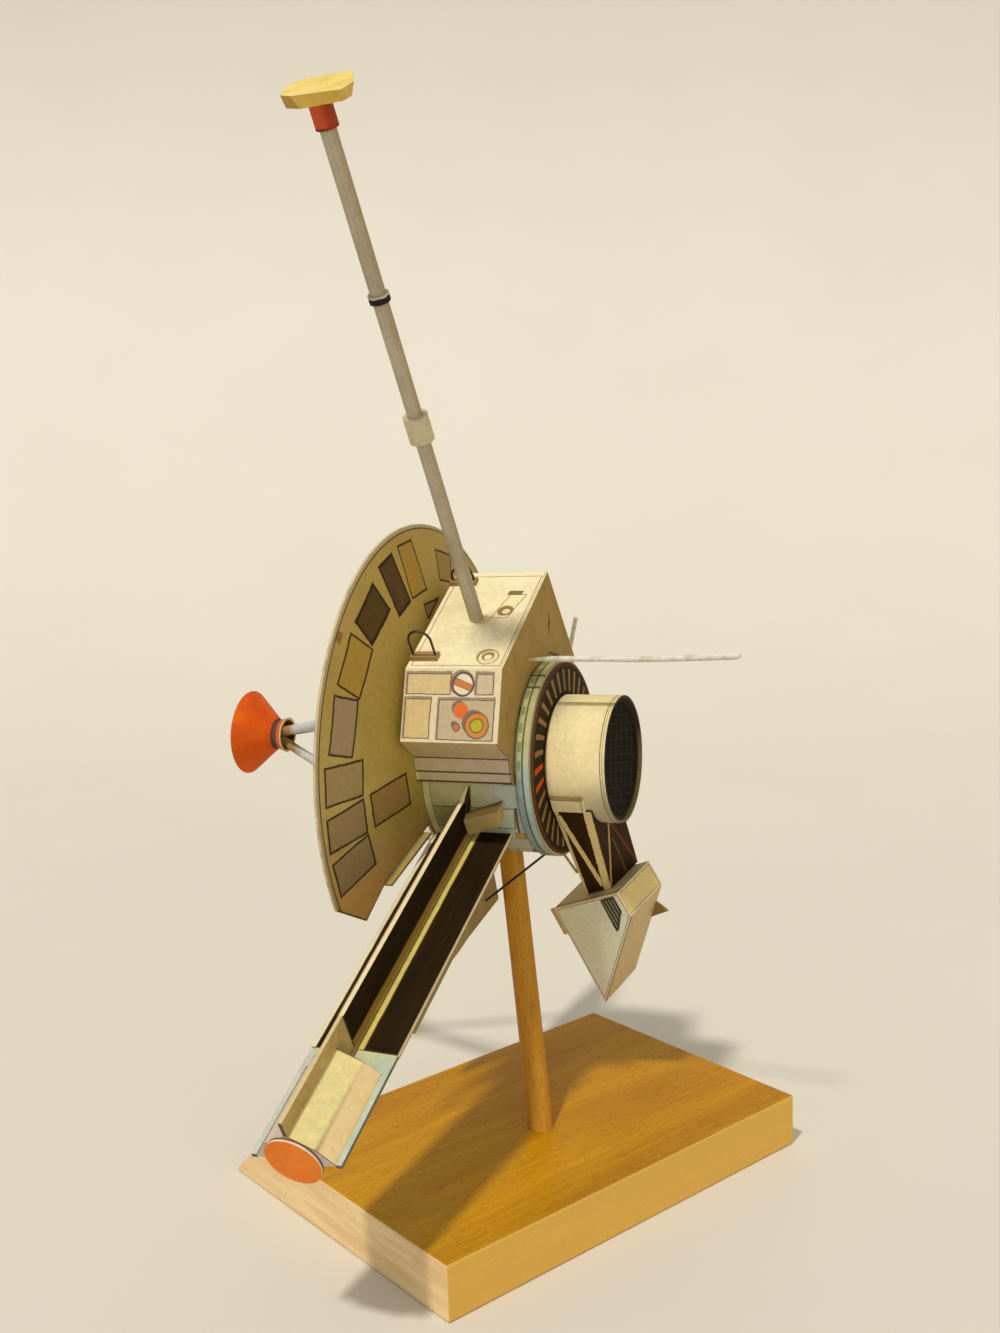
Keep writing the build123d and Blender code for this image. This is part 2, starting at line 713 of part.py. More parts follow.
stay_start = BOOM_SIDE.from_local_coords(
    Vector(STAY_ANCHOR_ALONG, STAY_ANCHOR_DEPTH, GUSSET_THICKNESS / 2 + WIRE_DIAMETER / 2)
)
with BuildPart() as wire_stay:
    round_bar(stay_start, spot(*STAY_RING_SPOT), WIRE_DIAMETER)
    clear_of_drum(RING_RADIUS + SEAT, 0, RING_THICKNESS)
    clear_of_drum(DRUM_RADIUS + SEAT, DISH_RIM_X, 0)
keep(wire_stay, "wire_stay")

with BuildPart() as root_bracket:
    with BuildSketch(lengthwise(BRACKET_FRONT_Y)):
        with BuildLine():
            Polyline(*BRACKET_OUTLINE, close=True)
        make_face()
    extrude(amount=BRACKET_FRONT_Y + DRUM_RADIUS / 2)
    clear_of_drum(DRUM_RADIUS + SEAT, DISH_RIM_X, 0)
    clear_of_fins()
keep(root_bracket, "root_bracket")

# ---------------------------------------------------------------- truss, pod
with BuildPart() as adapter_tab:
    with BuildSketch(lengthwise(TAB_FRONT_Y)):
        with Locations((TAB_X + TAB_LENGTH / 2, TAB_TOP_Z - TAB_HEIGHT / 2)):
            Rectangle(TAB_LENGTH, TAB_HEIGHT)
    extrude(amount=TAB_FRONT_Y + ADAPTER_RADIUS / 2)
    clear_of_drum(ADAPTER_RADIUS + SEAT, louver_right, adapter_right)
keep(adapter_tab, "adapter_tab")

# The pod hangs below the adapter, turned from the probe frame: x along its top, y through it
POD = Plane(
    PROBE.location
    * Location(POD_CORNER)
    * Rotation(0, 0, POD_YAW)
    * Rotation(0, POD_TILT, 0)
    * Rotation(POD_LEAN, 0, 0)
)


def pod_spot(x, y, z):
    """World position of a point in the pod's frame."""
    return POD.from_local_coords(Vector(x, y, z))


def pod_slice(y):
    """Plane through the pod: its sketch X runs along the pod's top, its sketch Y up."""
    return Plane(origin=pod_spot(0, y, 0), x_dir=POD.x_dir, z_dir=POD.y_dir * -1)


with BuildPart() as pod_body:
    with BuildSketch(pod_slice(0)):
        with BuildLine():
            Polyline((-POD_TOP_LENGTH, 0), (0, 0), (0, -POD_SHOULDER), POD_TIP, close=True)
        make_face()
    extrude(amount=-POD_THICKNESS)
keep(pod_body, "pod_body")

pod_left_x = -POD_TOP_LENGTH + (POD_TIP[0] + POD_TOP_LENGTH) * POD_TAB_LENGTH / -POD_TIP[1]
with BuildPart() as pod_tab:
    with BuildSketch(pod_slice(0)):
        with BuildLine():
            Polyline(
                (-POD_TOP_LENGTH - SEAT, 0),
                (pod_left_x - SEAT, -POD_TAB_LENGTH),
                (pod_left_x - SEAT - POD_TAB_REACH, -POD_TAB_LENGTH),
                (-POD_TOP_LENGTH - SEAT - POD_TAB_REACH, 0),
                close=True,
            )
        make_face()
    extrude(amount=-CARD)
keep(pod_tab, "pod_side_tab")

with BuildPart() as pod_fin:
    with BuildSketch(pod_slice(POD_THICKNESS - CARD)):
        with BuildLine():
            Polyline(*POD_FIN, close=True)
        make_face()
    extrude(amount=-CARD)
keep(pod_fin, "pod_fin")

with BuildPart() as truss:
    with BuildSketch(level(TRUSS_TOP_Z)):
        with BuildLine():
            Polyline(*TRUSS_TOP, close=True)
        make_face()
    with BuildSketch(POD.offset(SEAT)):
        with BuildLine():
            Polyline(*TRUSS_FOOT, close=True)
        make_face()
    loft(ruled=True)
    clear_of_drum(ADAPTER_RADIUS + SEAT, louver_right, adapter_right)
keep(truss, "truss")

rod_x = louver_right + SEAT + ROD_DIAMETER / 2
with BuildPart() as truss_rod:
    round_bar(spot(rod_x, *ROD_START), spot(rod_x, *ROD_END), ROD_DIAMETER)
keep(truss_rod, "truss_rod")

# ---------------------------------------------------------------- export
os.makedirs("parts", exist_ok=True)
for piece in finished:
    export_step(piece.part, f"parts/{piece.part.label}.step")
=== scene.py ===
"""Looks of the card deep-space probe on its beech stand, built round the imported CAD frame.

Local frames are in millimetres; meshes are written in metres.
"""
import math

import bmesh
import bpy
from mathutils import Matrix, Vector


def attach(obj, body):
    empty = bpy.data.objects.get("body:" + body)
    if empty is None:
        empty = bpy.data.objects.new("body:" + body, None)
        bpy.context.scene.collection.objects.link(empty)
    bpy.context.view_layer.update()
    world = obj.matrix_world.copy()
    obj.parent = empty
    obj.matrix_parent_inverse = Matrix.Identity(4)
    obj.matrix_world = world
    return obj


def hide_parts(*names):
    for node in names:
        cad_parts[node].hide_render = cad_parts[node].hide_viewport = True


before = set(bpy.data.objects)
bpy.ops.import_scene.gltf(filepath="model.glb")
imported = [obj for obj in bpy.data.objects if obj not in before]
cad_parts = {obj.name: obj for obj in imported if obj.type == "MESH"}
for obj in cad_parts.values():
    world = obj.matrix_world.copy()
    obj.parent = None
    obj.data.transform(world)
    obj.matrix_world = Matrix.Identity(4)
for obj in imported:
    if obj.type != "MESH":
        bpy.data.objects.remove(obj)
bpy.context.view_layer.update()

MM = 0.001
BODY = "root"

# ---------------------------------------------------------------- the part's driving sizes, in mm
BLOCK_THICKNESS = 17.6
DOWEL_FOOT = (-1.9, -15.9)
DOWEL_LEAN = 18.87
DOWEL_HEADING = 63.76
PROBE_ORIGIN = (19.0, -2.6, 137.1)
PROBE_HEADING = -61.62
PROBE_PITCH = 1.48
PROBE_ROLL = 29.24
CARD_THICKNESS = 0.8
DRUM_RADIUS = 31.8
RING_RADIUS = 32.6
RING_THICKNESS = 2.35
ADAPTER_RADIUS = 20.9
BOX_RIGHT_X = -0.6
BOX_TOP_Z = 49.4
BOX_FAR_Y = 36.8
BOX_NEAR_Y = -14.4
PANEL_BOTTOM = (-31.7, 33.9)
HORN_OFFSET = 7.0
HORN_TILT = 3.4
HORN_VIOLET_X = -101.95
HORN_RED_X = -99.8
HORN_LIP_X = -97.8
BOOM_X = -18.6
BOOM_Z = -8.0
BOOM_PITCH = 4.0
BOOM_YAW = 2.0
BOOM_LENGTH = 123.5
FIN_REACH = 14.0
GENERATOR_LENGTH = 36.7
POD_CORNER = (20.8, -22.0, -40.3)
POD_YAW = -9.45
POD_TILT = -29.19
POD_LEAN = -13.72
POD_TOP_LENGTH = 31.6
POD_SHOULDER = 9.4
POD_TIP = (-33.3, -38.8)
POD_THICKNESS = 20.4
TAB_TOP_Z = 2.2
TAB_RIGHT_X = 17.3
MAST_CAP_Z = 209.6
MAST_X = -17.6
MAST_Y = 11.2
MAST_RING_Z = 160.6
MAST_RING_LENGTH = 2.4
GENERATOR_SETBACK = 6.8
GENERATOR_FOLD_ANGLE = 32.0
GENERATOR_FOLD = 9.2


# ---------------------------------------------------------------- local frames
def turned(axis, degrees):
    """Rotation about a coordinate axis."""
    return Matrix.Rotation(math.radians(degrees), 4, axis)


PROBE = (
    Matrix.Translation(PROBE_ORIGIN)
    @ turned("Z", PROBE_HEADING)
    @ turned("Y", -PROBE_PITCH)
    @ turned("X", PROBE_ROLL)
)
POD = (
    PROBE
    @ Matrix.Translation(POD_CORNER)
    @ turned("Z", POD_YAW)
    @ turned("Y", POD_TILT)
    @ turned("X", POD_LEAN)
)
# the boom's frame: x to the probe's right, y up, z out along the boom
BOOM = (
    PROBE
    @ Matrix.Translation((BOOM_X, 0, BOOM_Z))
    @ turned("Z", -BOOM_YAW)
    @ turned("X", 90 - BOOM_PITCH)
)
DOWEL = (
    Matrix.Translation((*DOWEL_FOOT, BLOCK_THICKNESS))
    @ turned("Z", DOWEL_HEADING)
    @ turned("Y", DOWEL_LEAN)
)
WORLD = Matrix.Identity(4)
X_AXIS = (1, 0, 0)
Y_AXIS = (0, 1, 0)
Z_AXIS = (0, 0, 1)


# ---------------------------------------------------------------- camera, floor and light
PHOTO_HEIGHT = 1333
CAMERA_FOCAL_PIXELS = 1471.2
CAMERA_POSITION = (-297.12, -361.21, 249.85)
CAMERA_HEADING = 50.505
CAMERA_PITCH = 9.698
CAMERA_ROLL = -2.022
SENSOR = 36.0


def make_camera():
    """Camera at the photograph's place, aim and focal length."""
    data = bpy.data.cameras.new("camera")
    data.sensor_fit = "VERTICAL"
    data.sensor_height = SENSOR
    data.lens = CAMERA_FOCAL_PIXELS * SENSOR / PHOTO_HEIGHT
    data.clip_start = 0.01
    camera = bpy.data.objects.new("camera", data)
    bpy.context.scene.collection.objects.link(camera)
    aim = turned("Z", CAMERA_HEADING - 90) @ turned("X", 90 - CAMERA_PITCH) @ turned("Z", CAMERA_ROLL)
    place = Matrix.Translation(Vector(CAMERA_POSITION) * MM)
    camera.matrix_world = place @ aim
    bpy.context.scene.camera = camera


FLOOR_GAP = 0.00004


def add_mesh(name, shape, material):
    """Make an object from a finished bmesh and give it its material."""
    mesh = bpy.data.meshes.new(name)
    shape.to_mesh(mesh)
    shape.free()
    mesh.materials.append(material)
    piece = bpy.data.objects.new(name, mesh)
    bpy.context.scene.collection.objects.link(piece)
    return piece


def make_floor():
    """Pale seamless sweep: a floor that curves up into a backdrop far behind the model."""
    near, far, wall, radius, half_width = -1.6, 1.5, 1.6, 0.9, 3.2
    profile = [(near, 0.0), (far - radius, 0.0)]
    steps = 16
    for step in range(1, steps + 1):
        angle = math.pi / 2 * step / steps
        profile.append((far - radius + radius * math.sin(angle), radius - radius * math.cos(angle)))
    profile.append((far, wall + radius))
    heading = math.radians(CAMERA_HEADING)
    along = Vector((math.cos(heading), math.sin(heading), 0))
    side = Vector((math.sin(heading), -math.cos(heading), 0))
    work = bmesh.new()
    rows = []
    for distance, height in profile:
        centre = along * distance + Vector((0, 0, height - FLOOR_GAP))
        rows.append([work.verts.new(centre + side * reach) for reach in (-half_width, half_width)])
    for lower, upper in zip(rows, rows[1:]):
        work.faces.new((lower[0], lower[1], upper[1], upper[0])).smooth = True
    shader = Shader("floor_paper")
    tone = shader.noise(shader.place, 6.0, detail=2)
    shader.colour(shader.mix(tone, (0.70, 0.66, 0.58), (0.74, 0.70, 0.62)))
    add_mesh("floor", work, shader.material)


def sun_light(name, toward, strength, spread, colour):
    """Distant soft light coming from a direction, as wide as spread degrees."""
    data = bpy.data.lights.new(name, "SUN")
    data.energy = strength
    data.angle = math.radians(spread)
    data.color = colour
    light = bpy.data.objects.new(name, data)
    bpy.context.scene.collection.objects.link(light)
    light.matrix_world = Vector(toward).to_track_quat("Z", "Y").to_matrix().to_4x4()


SURROUND_COLOUR = (1.0, 0.97, 0.92, 1)
SURROUND_STRENGTH = 0.42
#    name, direction the light comes from, strength, spread in degrees, colour
SUNS = (
    ("key", (-0.51, -0.165, 1.0), 1.9, 4.0, (1.0, 0.95, 0.85)),
    ("fill", (-0.35, -1.0, 0.25), 0.50, 40.0, (1.0, 0.96, 0.90)),
)


def make_light():
    """Soft studio light: a warm key from the upper left, a weak fill from the camera's side."""
    world = bpy.data.worlds.new("surround")
    bpy.context.scene.world = world
    world.use_nodes = True
    background = world.node_tree.nodes["Background"]
    background.inputs["Color"].default_value = SURROUND_COLOUR
    background.inputs["Strength"].default_value = SURROUND_STRENGTH
    for sun in SUNS:
        sun_light(*sun)


# ---------------------------------------------------------------- shader shorthand
BEVEL_SAMPLES = 4
# cosine between the flat and the rounded normal where an edge's wear starts and where it is full
EDGE_START = 0.995
EDGE_FULL = 0.93


class Shader:
    """One material's node tree, with short names for the nodes used here."""

    def __init__(self, name, roughness=0.6, specular=0.35):
        self.material = bpy.data.materials.new(name)
        self.material.use_nodes = True
        self.tree = self.material.node_tree
        self.surface = self.tree.nodes["Principled BSDF"]
        self.surface.inputs["Roughness"].default_value = roughness
        self.surface.inputs["Specular IOR Level"].default_value = specular
        coordinates = self.tree.nodes.new("ShaderNodeTexCoord")
        self.place = coordinates.outputs["Object"]

    def feed(self, socket, value):
        """Link a socket, or set a number, colour or vector on it."""
        if isinstance(value, bpy.types.NodeSocket):
            self.tree.links.new(value, socket)
        elif isinstance(value, (tuple, list, Vector)):
            parts = tuple(value)
            if socket.type == "RGBA" and len(parts) == 3:
                parts = parts + (1.0,)
            socket.default_value = parts
        else:
            socket.default_value = value

    def math(self, operation, first, second=0.0, third=0.0):
        """Number from one to three numbers."""
        node = self.tree.nodes.new("ShaderNodeMath")
        node.operation = operation
        for socket, value in zip(node.inputs, (first, second, third)):
            self.feed(socket, value)
        return node.outputs[0]

    def plus(self, first, second):
        """Sum of two numbers."""
        return self.math("ADD", first, second)

    def minus(self, first, second):
        """First number less the second."""
        return self.math("SUBTRACT", first, second)

    def times(self, first, second):
        """Product of two numbers."""
        return self.math("MULTIPLY", first, second)

    def larger(self, first, second):
        """The larger of two numbers."""
        return self.math("MAXIMUM", first, second)

    def magnitude(self, value):
        """A number without its sign."""
        return self.math("ABSOLUTE", value)

    def beyond(self, value, half):
        """How far a number lies outside the span from -half to half, negative inside it."""
        return self.minus(self.magnitude(value), half)

    def dot(self, first, second):
        """Dot product of two vectors."""
        return self.vector("DOT_PRODUCT", first, second, output="Value")

    def vector(self, operation, first, second=(0, 0, 0), output="Vector"):
        """Vector, or a dot product or length, from two vectors."""
        node = self.tree.nodes.new("ShaderNodeVectorMath")
        node.operation = operation
        self.feed(node.inputs[0], first)
        self.feed(node.inputs[1], second)
        return node.outputs[output]

    def mix(self, factor, first, second, blend="MIX"):
        """Colour between two colours."""
        node = self.tree.nodes.new("ShaderNodeMix")
        node.data_type = "RGBA"
        node.blend_type = blend
        self.feed(node.inputs["Factor"], factor)
        self.feed(node.inputs[6], first)
        self.feed(node.inputs[7], second)
        return node.outputs[2]

    def noise(self, where, scale, detail=3.0, roughness=0.55, distortion=0.0, output="Fac"):
        """Perlin noise from 0 to 1, or its colour output."""
        node = self.tree.nodes.new("ShaderNodeTexNoise")
        node.inputs["Scale"].default_value = scale
        node.inputs["Detail"].default_value = detail
        node.inputs["Roughness"].default_value = roughness
        node.inputs["Distortion"].default_value = distortion
        self.feed(node.inputs["Vector"], where)
        return node.outputs[output]

    def streaks(self, where, stretch, scale, **settings):
        """Noise drawn out by a factor along each axis."""
        return self.noise(self.vector("MULTIPLY", where, stretch), scale, **settings)

    def ramp(self, value, low, high, bottom=0.0, top=1.0):
        """Number from bottom to top as value goes from low to high."""
        node = self.tree.nodes.new("ShaderNodeMapRange")
        node.clamp = True
        for socket, setting in zip(node.inputs, (value, low, high, bottom, top)):
            self.feed(socket, setting)
        return node.outputs[0]

    def local(self, local_frame):
        """Object coordinates in a local frame, in millimetres."""
        inverse = local_frame.inverted()
        node = self.tree.nodes.new("ShaderNodeMapping")
        node.inputs["Location"].default_value = inverse.translation
        node.inputs["Rotation"].default_value = inverse.to_euler()
        node.inputs["Scale"].default_value = (1 / MM,) * 3
        self.feed(node.inputs["Vector"], self.place)
        return node.outputs[0]

    def split(self, vector):
        """The three parts of a vector."""
        node = self.tree.nodes.new("ShaderNodeSeparateXYZ")
        self.feed(node.inputs[0], vector)
        return tuple(node.outputs)

    def join(self, first, second, third):
        """A vector from three numbers."""
        node = self.tree.nodes.new("ShaderNodeCombineXYZ")
        for socket, value in zip(node.inputs, (first, second, third)):
            self.feed(socket, value)
        return node.outputs[0]

    def facing(self, direction, threshold=0.6):
        """1 where the surface looks along a world direction, else 0."""
        geometry = self.tree.nodes.new("ShaderNodeNewGeometry")
        along = self.dot(geometry.outputs["True Normal"], direction)
        return self.math("GREATER_THAN", along, threshold)

    def colour(self, value):
        """Set the surface's colour."""
        self.feed(self.surface.inputs["Base Color"], value)

    def roughen(self, value, smooth, rough):
        """Vary the surface's roughness between two values with a noise."""
        self.feed(self.surface.inputs["Roughness"], self.ramp(value, 0.3, 0.7, smooth, rough))

    def bump(self, height, distance, normal=None):
        """Raise the surface by a height from 0 to 1, times a distance in millimetres."""
        node = self.tree.nodes.new("ShaderNodeBump")
        node.inputs["Distance"].default_value = distance * MM
        self.feed(node.inputs["Height"], height)
        if normal is not None:
            self.feed(node.inputs["Normal"], normal)
        self.feed(self.surface.inputs["Normal"], node.outputs[0])

    def soft_edges(self, radius):
        """Normal of the surface with its sharp edges rounded to a radius in millimetres."""
        node = self.tree.nodes.new("ShaderNodeBevel")
        node.samples = BEVEL_SAMPLES
        node.inputs["Radius"].default_value = radius * MM
        return node.outputs[0]

    def edges(self, rounded):
        """0 on flat surface, up to 1 at sharp edges, from a rounded normal."""
        geometry = self.tree.nodes.new("ShaderNodeNewGeometry")
        along = self.dot(rounded, geometry.outputs["True Normal"])
        return self.ramp(along, EDGE_START, EDGE_FULL)


def rgb(red, green, blue):
    """Linear colour from the sRGB values 0 to 255 that it has in plain light."""
    parts = []
    for value in (red, green, blue):
        share = value / 255
        parts.append(share / 12.92 if share <= 0.04045 else ((share + 0.055) / 1.055) ** 2.4)
    return tuple(parts)


def scaled(colour, share):
    """A colour made darker or lighter."""
    return tuple(min(part * share, 1.0) for part in colour)


# ---------------------------------------------------------------- palette
CARD_CORE = rgb(232, 216, 176)
CREAM = rgb(240, 222, 166)
CREAM_GREY = rgb(214, 204, 172)
OCHRE = rgb(160, 128, 58)
BROWN = rgb(100, 66, 28)
DARK_BROWN = rgb(66, 40, 18)
INK_LINE = rgb(74, 56, 38)
MOSS = rgb(128, 134, 78)
ORANGE = rgb(228, 112, 44)
HORN_ORANGE = rgb(230, 90, 6)
YELLOW_GREEN = rgb(186, 176, 50)
#   tints that the paint is multiplied by
STAIN = (0.78, 0.66, 0.42)
SPECK = (0.62, 0.54, 0.42)
FIBRE_RELIEF = 0.105


class Card(Shader):
    """Printed card: blotchy flat colour, printed shapes, paper fibre and worn paler edges."""

    def __init__(self, name, base, second, local_frame=PROBE, drift=0.04, roughness=0.7, specular=0.25):
        super().__init__(name, roughness=roughness, specular=specular)
        self.frame = local_frame
        self.spot = self.local(local_frame)
        self.x, self.y, self.z = self.split(self.spot)
        wander = self.noise(self.spot, 0.35, detail=1, output="Color")
        wander = self.vector("SUBTRACT", wander, (0.5, 0.5, 0.5))
        self.drawn = self.vector("ADD", self.spot, self.vector("MULTIPLY", wander, (0.5, 0.5, 0.5)))
        self.area = None
        blotch = self.ramp(self.noise(self.spot, drift, detail=4), 0.35, 0.68)
        self.tone = self.mix(blotch, scaled(base, 0.88), second)

    def looks(self, x, y, z, threshold):
        """1 where the surface looks along a direction of the card's own frame, else 0."""
        return self.facing(self.frame.to_3x3() @ Vector((x, y, z)).normalized(), threshold)

    def wobble(self, scale, reach, detail=3):
        """Noise from half a reach below zero to half a reach above."""
        return self.times(self.minus(self.noise(self.spot, scale, detail), 0.5), reach)

    def cloud(self, scale, low, high, **settings):
        """Soft patches, 0 where a noise is under low and 1 where it is over high."""
        return self.ramp(self.noise(self.spot, scale, **settings), low, high)

    def radius(self):
        """Distance from the frame's x axis."""
        return self.vector("LENGTH", self.join(0, self.y, self.z), output="Value")

    def angle(self):
        """Turn about the frame's x axis, in radians, from z towards y."""
        return self.math("ARCTAN2", self.y, self.z)

    def cover(self, x, y, z, threshold, colour, strength=1.0):
        """Paint only on the faces that look along a direction, and give them their ground colour."""
        self.area = self.looks(x, y, z, threshold)
        self.paint(1.0, colour, strength)

    def draw_on(self, u, v, origin=(0, 0, 0)):
        """Draw on flat coordinates in mm, kept as a vector (along u, along v, 1)."""
        start = Vector(origin)
        along_u = self.dot(self.drawn, u)
        along_v = self.dot(self.drawn, v)
        along_u = self.minus(along_u, start.dot(Vector(u)))
        along_v = self.minus(along_v, start.dot(Vector(v)))
        self.chart = self.join(along_u, along_v, 1.0)

    def polygon(self, corners):
        """Distance in mm outside a convex outline, negative inside it."""
        pairs = list(zip(corners, corners[1:] + corners[:1]))
        area = sum(x0 * y1 - x1 * y0 for (x0, y0), (x1, y1) in pairs)
        turn = math.copysign(1, area)
        distance = None
        for (x0, y0), (x1, y1) in pairs:
            length = math.hypot(x1 - x0, y1 - y0)
            across = (turn * (y1 - y0) / length, -turn * (x1 - x0) / length)
            plane = (across[0], across[1], -across[0] * x0 - across[1] * y0)
            edge = self.dot(self.chart, plane)
            distance = edge if distance is None else self.larger(distance, edge)
        return distance

    def circle(self, centre, radius):
        """Distance in mm outside a circle, negative inside it."""
        apart = self.vector("DISTANCE", self.chart, (centre[0], centre[1], 1.0), output="Value")
        return self.minus(apart, radius)

    def stroke(self, start, end, width):
        """Distance in mm outside a straight stroke."""
        length = math.hypot(end[0] - start[0], end[1] - start[1])
        u = ((end[0] - start[0]) / length, (end[1] - start[1]) / length)
        v = (-u[1], u[0])
        middle = ((start[0] + end[0]) / 2, (start[1] + end[1]) / 2)
        distance = None
        for axis, half in ((u, length / 2), (v, width / 2)):
            plane = (axis[0], axis[1], -axis[0] * middle[0] - axis[1] * middle[1])
            edge = self.beyond(self.dot(self.chart, plane), half)
            distance = edge if distance is None else self.larger(distance, edge)
        return distance

    def inked(self, distance, soft=0.16):
        """1 inside, 0 outside, with a soft printed edge."""
        node = self.tree.nodes.new("ShaderNodeMath")
        node.operation = "MULTIPLY_ADD"
        node.use_clamp = True
        self.feed(node.inputs[0], distance)
        node.inputs[1].default_value = -1 / soft
        node.inputs[2].default_value = 0.5
        return node.outputs[0]

    def paint(self, mask, colour, strength=1.0):
        """Lay a colour over the tone where the mask is 1, inside the present area."""
        if self.area is not None:
            mask = self.times(mask, self.area)
        if strength != 1.0:
            mask = self.times(mask, strength)
        self.tone = self.mix(mask, self.tone, colour)

    def shape(self, distance, fill=None, line=None, width=0.4, strength=1.0):
        """Fill and outline a printed shape."""
        if fill is not None:
            self.paint(self.inked(distance), fill, strength)
        if line is not None:
            rim = self.beyond(distance, width / 2)
            self.paint(self.inked(rim), line, 0.9)

    def disc(self, centre, radius, *look, **settings):
        """Print a round shape."""
        self.shape(self.circle(centre, radius), *look, **settings)

    def plate(self, corners, *look, **settings):
        """Print a shape with straight sides."""
        self.shape(self.polygon(corners), *look, **settings)

    def draw_line(self, start, end, width, colour, strength=1.0):
        """Print a straight line."""
        self.paint(self.inked(self.stroke(start, end, width)), colour, strength)

    def band(self, value, low, high, colour, strength=1.0, soft=0.16):
        """Print a band where a coordinate lies between two values."""
        middle = (low + high) / 2
        distance = self.beyond(self.minus(value, middle), (high - low) / 2)
        self.paint(self.inked(distance, soft), colour, strength)

    def tinted(self, colour):
        """The tone seen through a tint."""
        return self.mix(1.0, self.tone, colour, blend="MULTIPLY")

    def finish(self, core=CARD_CORE, wear=0.5, rounding=0.3):
        """Age the print, wear its edges down to the card, and give it paper's relief."""
        mottle = self.noise(self.spot, 0.55, detail=5, roughness=0.6)
        tone = self.mix(self.ramp(mottle, 0.3, 0.72), (0.90, 0.88, 0.84), (1.06, 1.05, 1.03))
        self.tone = self.tinted(tone)
        stain = self.ramp(self.noise(self.spot, 0.09, distortion=0.6), 0.58, 0.82, 0.0, 0.22)
        self.tone = self.mix(stain, self.tone, self.tinted(STAIN))
        specks = self.ramp(self.noise(self.spot, 2.6, detail=2), 0.70, 0.78, 0.0, 0.35)
        self.tone = self.mix(specks, self.tone, self.tinted(SPECK))
        rounded = self.soft_edges(rounding)
        edge = self.edges(rounded)
        ragged = self.ramp(self.noise(self.spot, 1.3), 0.36, 0.62, 0.25, 1.0)
        edge = self.times(edge, ragged)
        self.tone = self.mix(self.times(edge, wear), self.tone, core)
        self.colour(self.tone)
        grain = self.noise(self.spot, 4.2, detail=4, roughness=0.65)
        swell = self.noise(self.spot, 0.22, detail=2)
        relief = self.plus(self.times(grain, 0.35), swell)
        self.bump(relief, FIBRE_RELIEF, rounded)
        self.roughen(mottle, 0.6, 0.8)
        return self.material


# ---------------------------------------------------------------- wood
WOOD_SHEEN = 0.14


def wood(name, light, dark, local_frame, ray_colour, gloss):
    """Beech: long fine grain along the local x, broad soft figure, and short dark ray flecks."""
    shader = Shader(name, roughness=gloss, specular=WOOD_SHEEN)
    spot = shader.local(local_frame)
    figure = shader.streaks(spot, (0.006, 0.05, 0.05), 1.0, detail=4, distortion=0.8)
    tone = shader.mix(shader.ramp(figure, 0.32, 0.70), light, dark)
    streak = shader.streaks(spot, (0.035, 0.9, 0.9), 1.0, detail=5, roughness=0.7)
    tone = shader.mix(shader.ramp(streak, 0.42, 0.72, 0.0, 0.5), tone, scaled(dark, 0.82))
    pale = shader.streaks(spot, (0.02, 0.5, 0.5), 1.7)
    tone = shader.mix(shader.ramp(pale, 0.55, 0.75, 0.0, 0.45), tone, scaled(light, 1.12))
    fleck = shader.streaks(spot, (0.42, 3.6, 3.6), 1.0, detail=2, roughness=0.4)
    fleck_mask = shader.ramp(fleck, 0.60, 0.70, 0.0, 0.6)
    tone = shader.mix(fleck_mask, tone, ray_colour)
    end_grain = shader.plus(shader.facing((1, 0, 0)), shader.facing((-1, 0, 0)))
    side = shader.facing((0, -1, 0))
    return shader, spot, tone, streak, fleck, end_grain, side


def block_wood():
    """The block: orange satin top, paler sides, pale pinkish end grain."""
    shader, spot, tone, streak, fleck, end_grain, side = wood(
        "beech_block", rgb(206, 150, 6), rgb(174, 118, 3), WORLD, rgb(112, 64, 8), 0.42
    )
    pores = shader.streaks(spot, (1.0, 1.6, 0.5), 1.6, detail=4, roughness=0.7)
    grown = shader.streaks(spot, (1.0, 0.03, 0.28), 1.0)
    end_tone = shader.mix(shader.ramp(grown, 0.35, 0.65), rgb(244, 218, 166), rgb(230, 196, 142))
    end_tone = shader.mix(shader.ramp(pores, 0.52, 0.72, 0.0, 0.5), end_tone, rgb(176, 136, 94))
    side_tone = shader.mix(0.7, tone, rgb(242, 196, 98))
    tone = shader.mix(side, tone, side_tone)
    tone = shader.mix(shader.math("MINIMUM", end_grain, 1.0), tone, end_tone)
    # paler edges: partly real wear, partly a painted highlight along the block's edges
    rounded = shader.soft_edges(0.8)
    wear_and_highlight = shader.times(shader.edges(rounded), 0.45)
    tone = shader.mix(wear_and_highlight, tone, rgb(226, 188, 122))
    shader.colour(tone)
    shader.bump(shader.plus(streak, shader.times(fleck, 0.6)), 0.06, rounded)
    shader.roughen(streak, 0.38, 0.56)
    return shader.material


def dowel_wood():
    """The dowel: the same beech, grain up its length."""
    along = DOWEL @ turned("Y", -90)
    shader, _, tone, streak, fleck, _, _ = wood(
        "beech_dowel", rgb(216, 158, 52), rgb(182, 120, 30), along, rgb(118, 72, 28), 0.5
    )
    shader.colour(tone)
    shader.bump(shader.plus(streak, shader.times(fleck, 0.6)), 0.06, shader.soft_edges(0.4))
    shader.roughen(streak, 0.45, 0.6)
    return shader.material


# ---------------------------------------------------------------- printed card, piece by piece
def polar(radius, degrees):
    """(y, z) of a point at a distance from the dish's axis, turned from +z towards +y."""
    return radius * math.sin(math.radians(degrees)), radius * math.cos(math.radians(degrees))


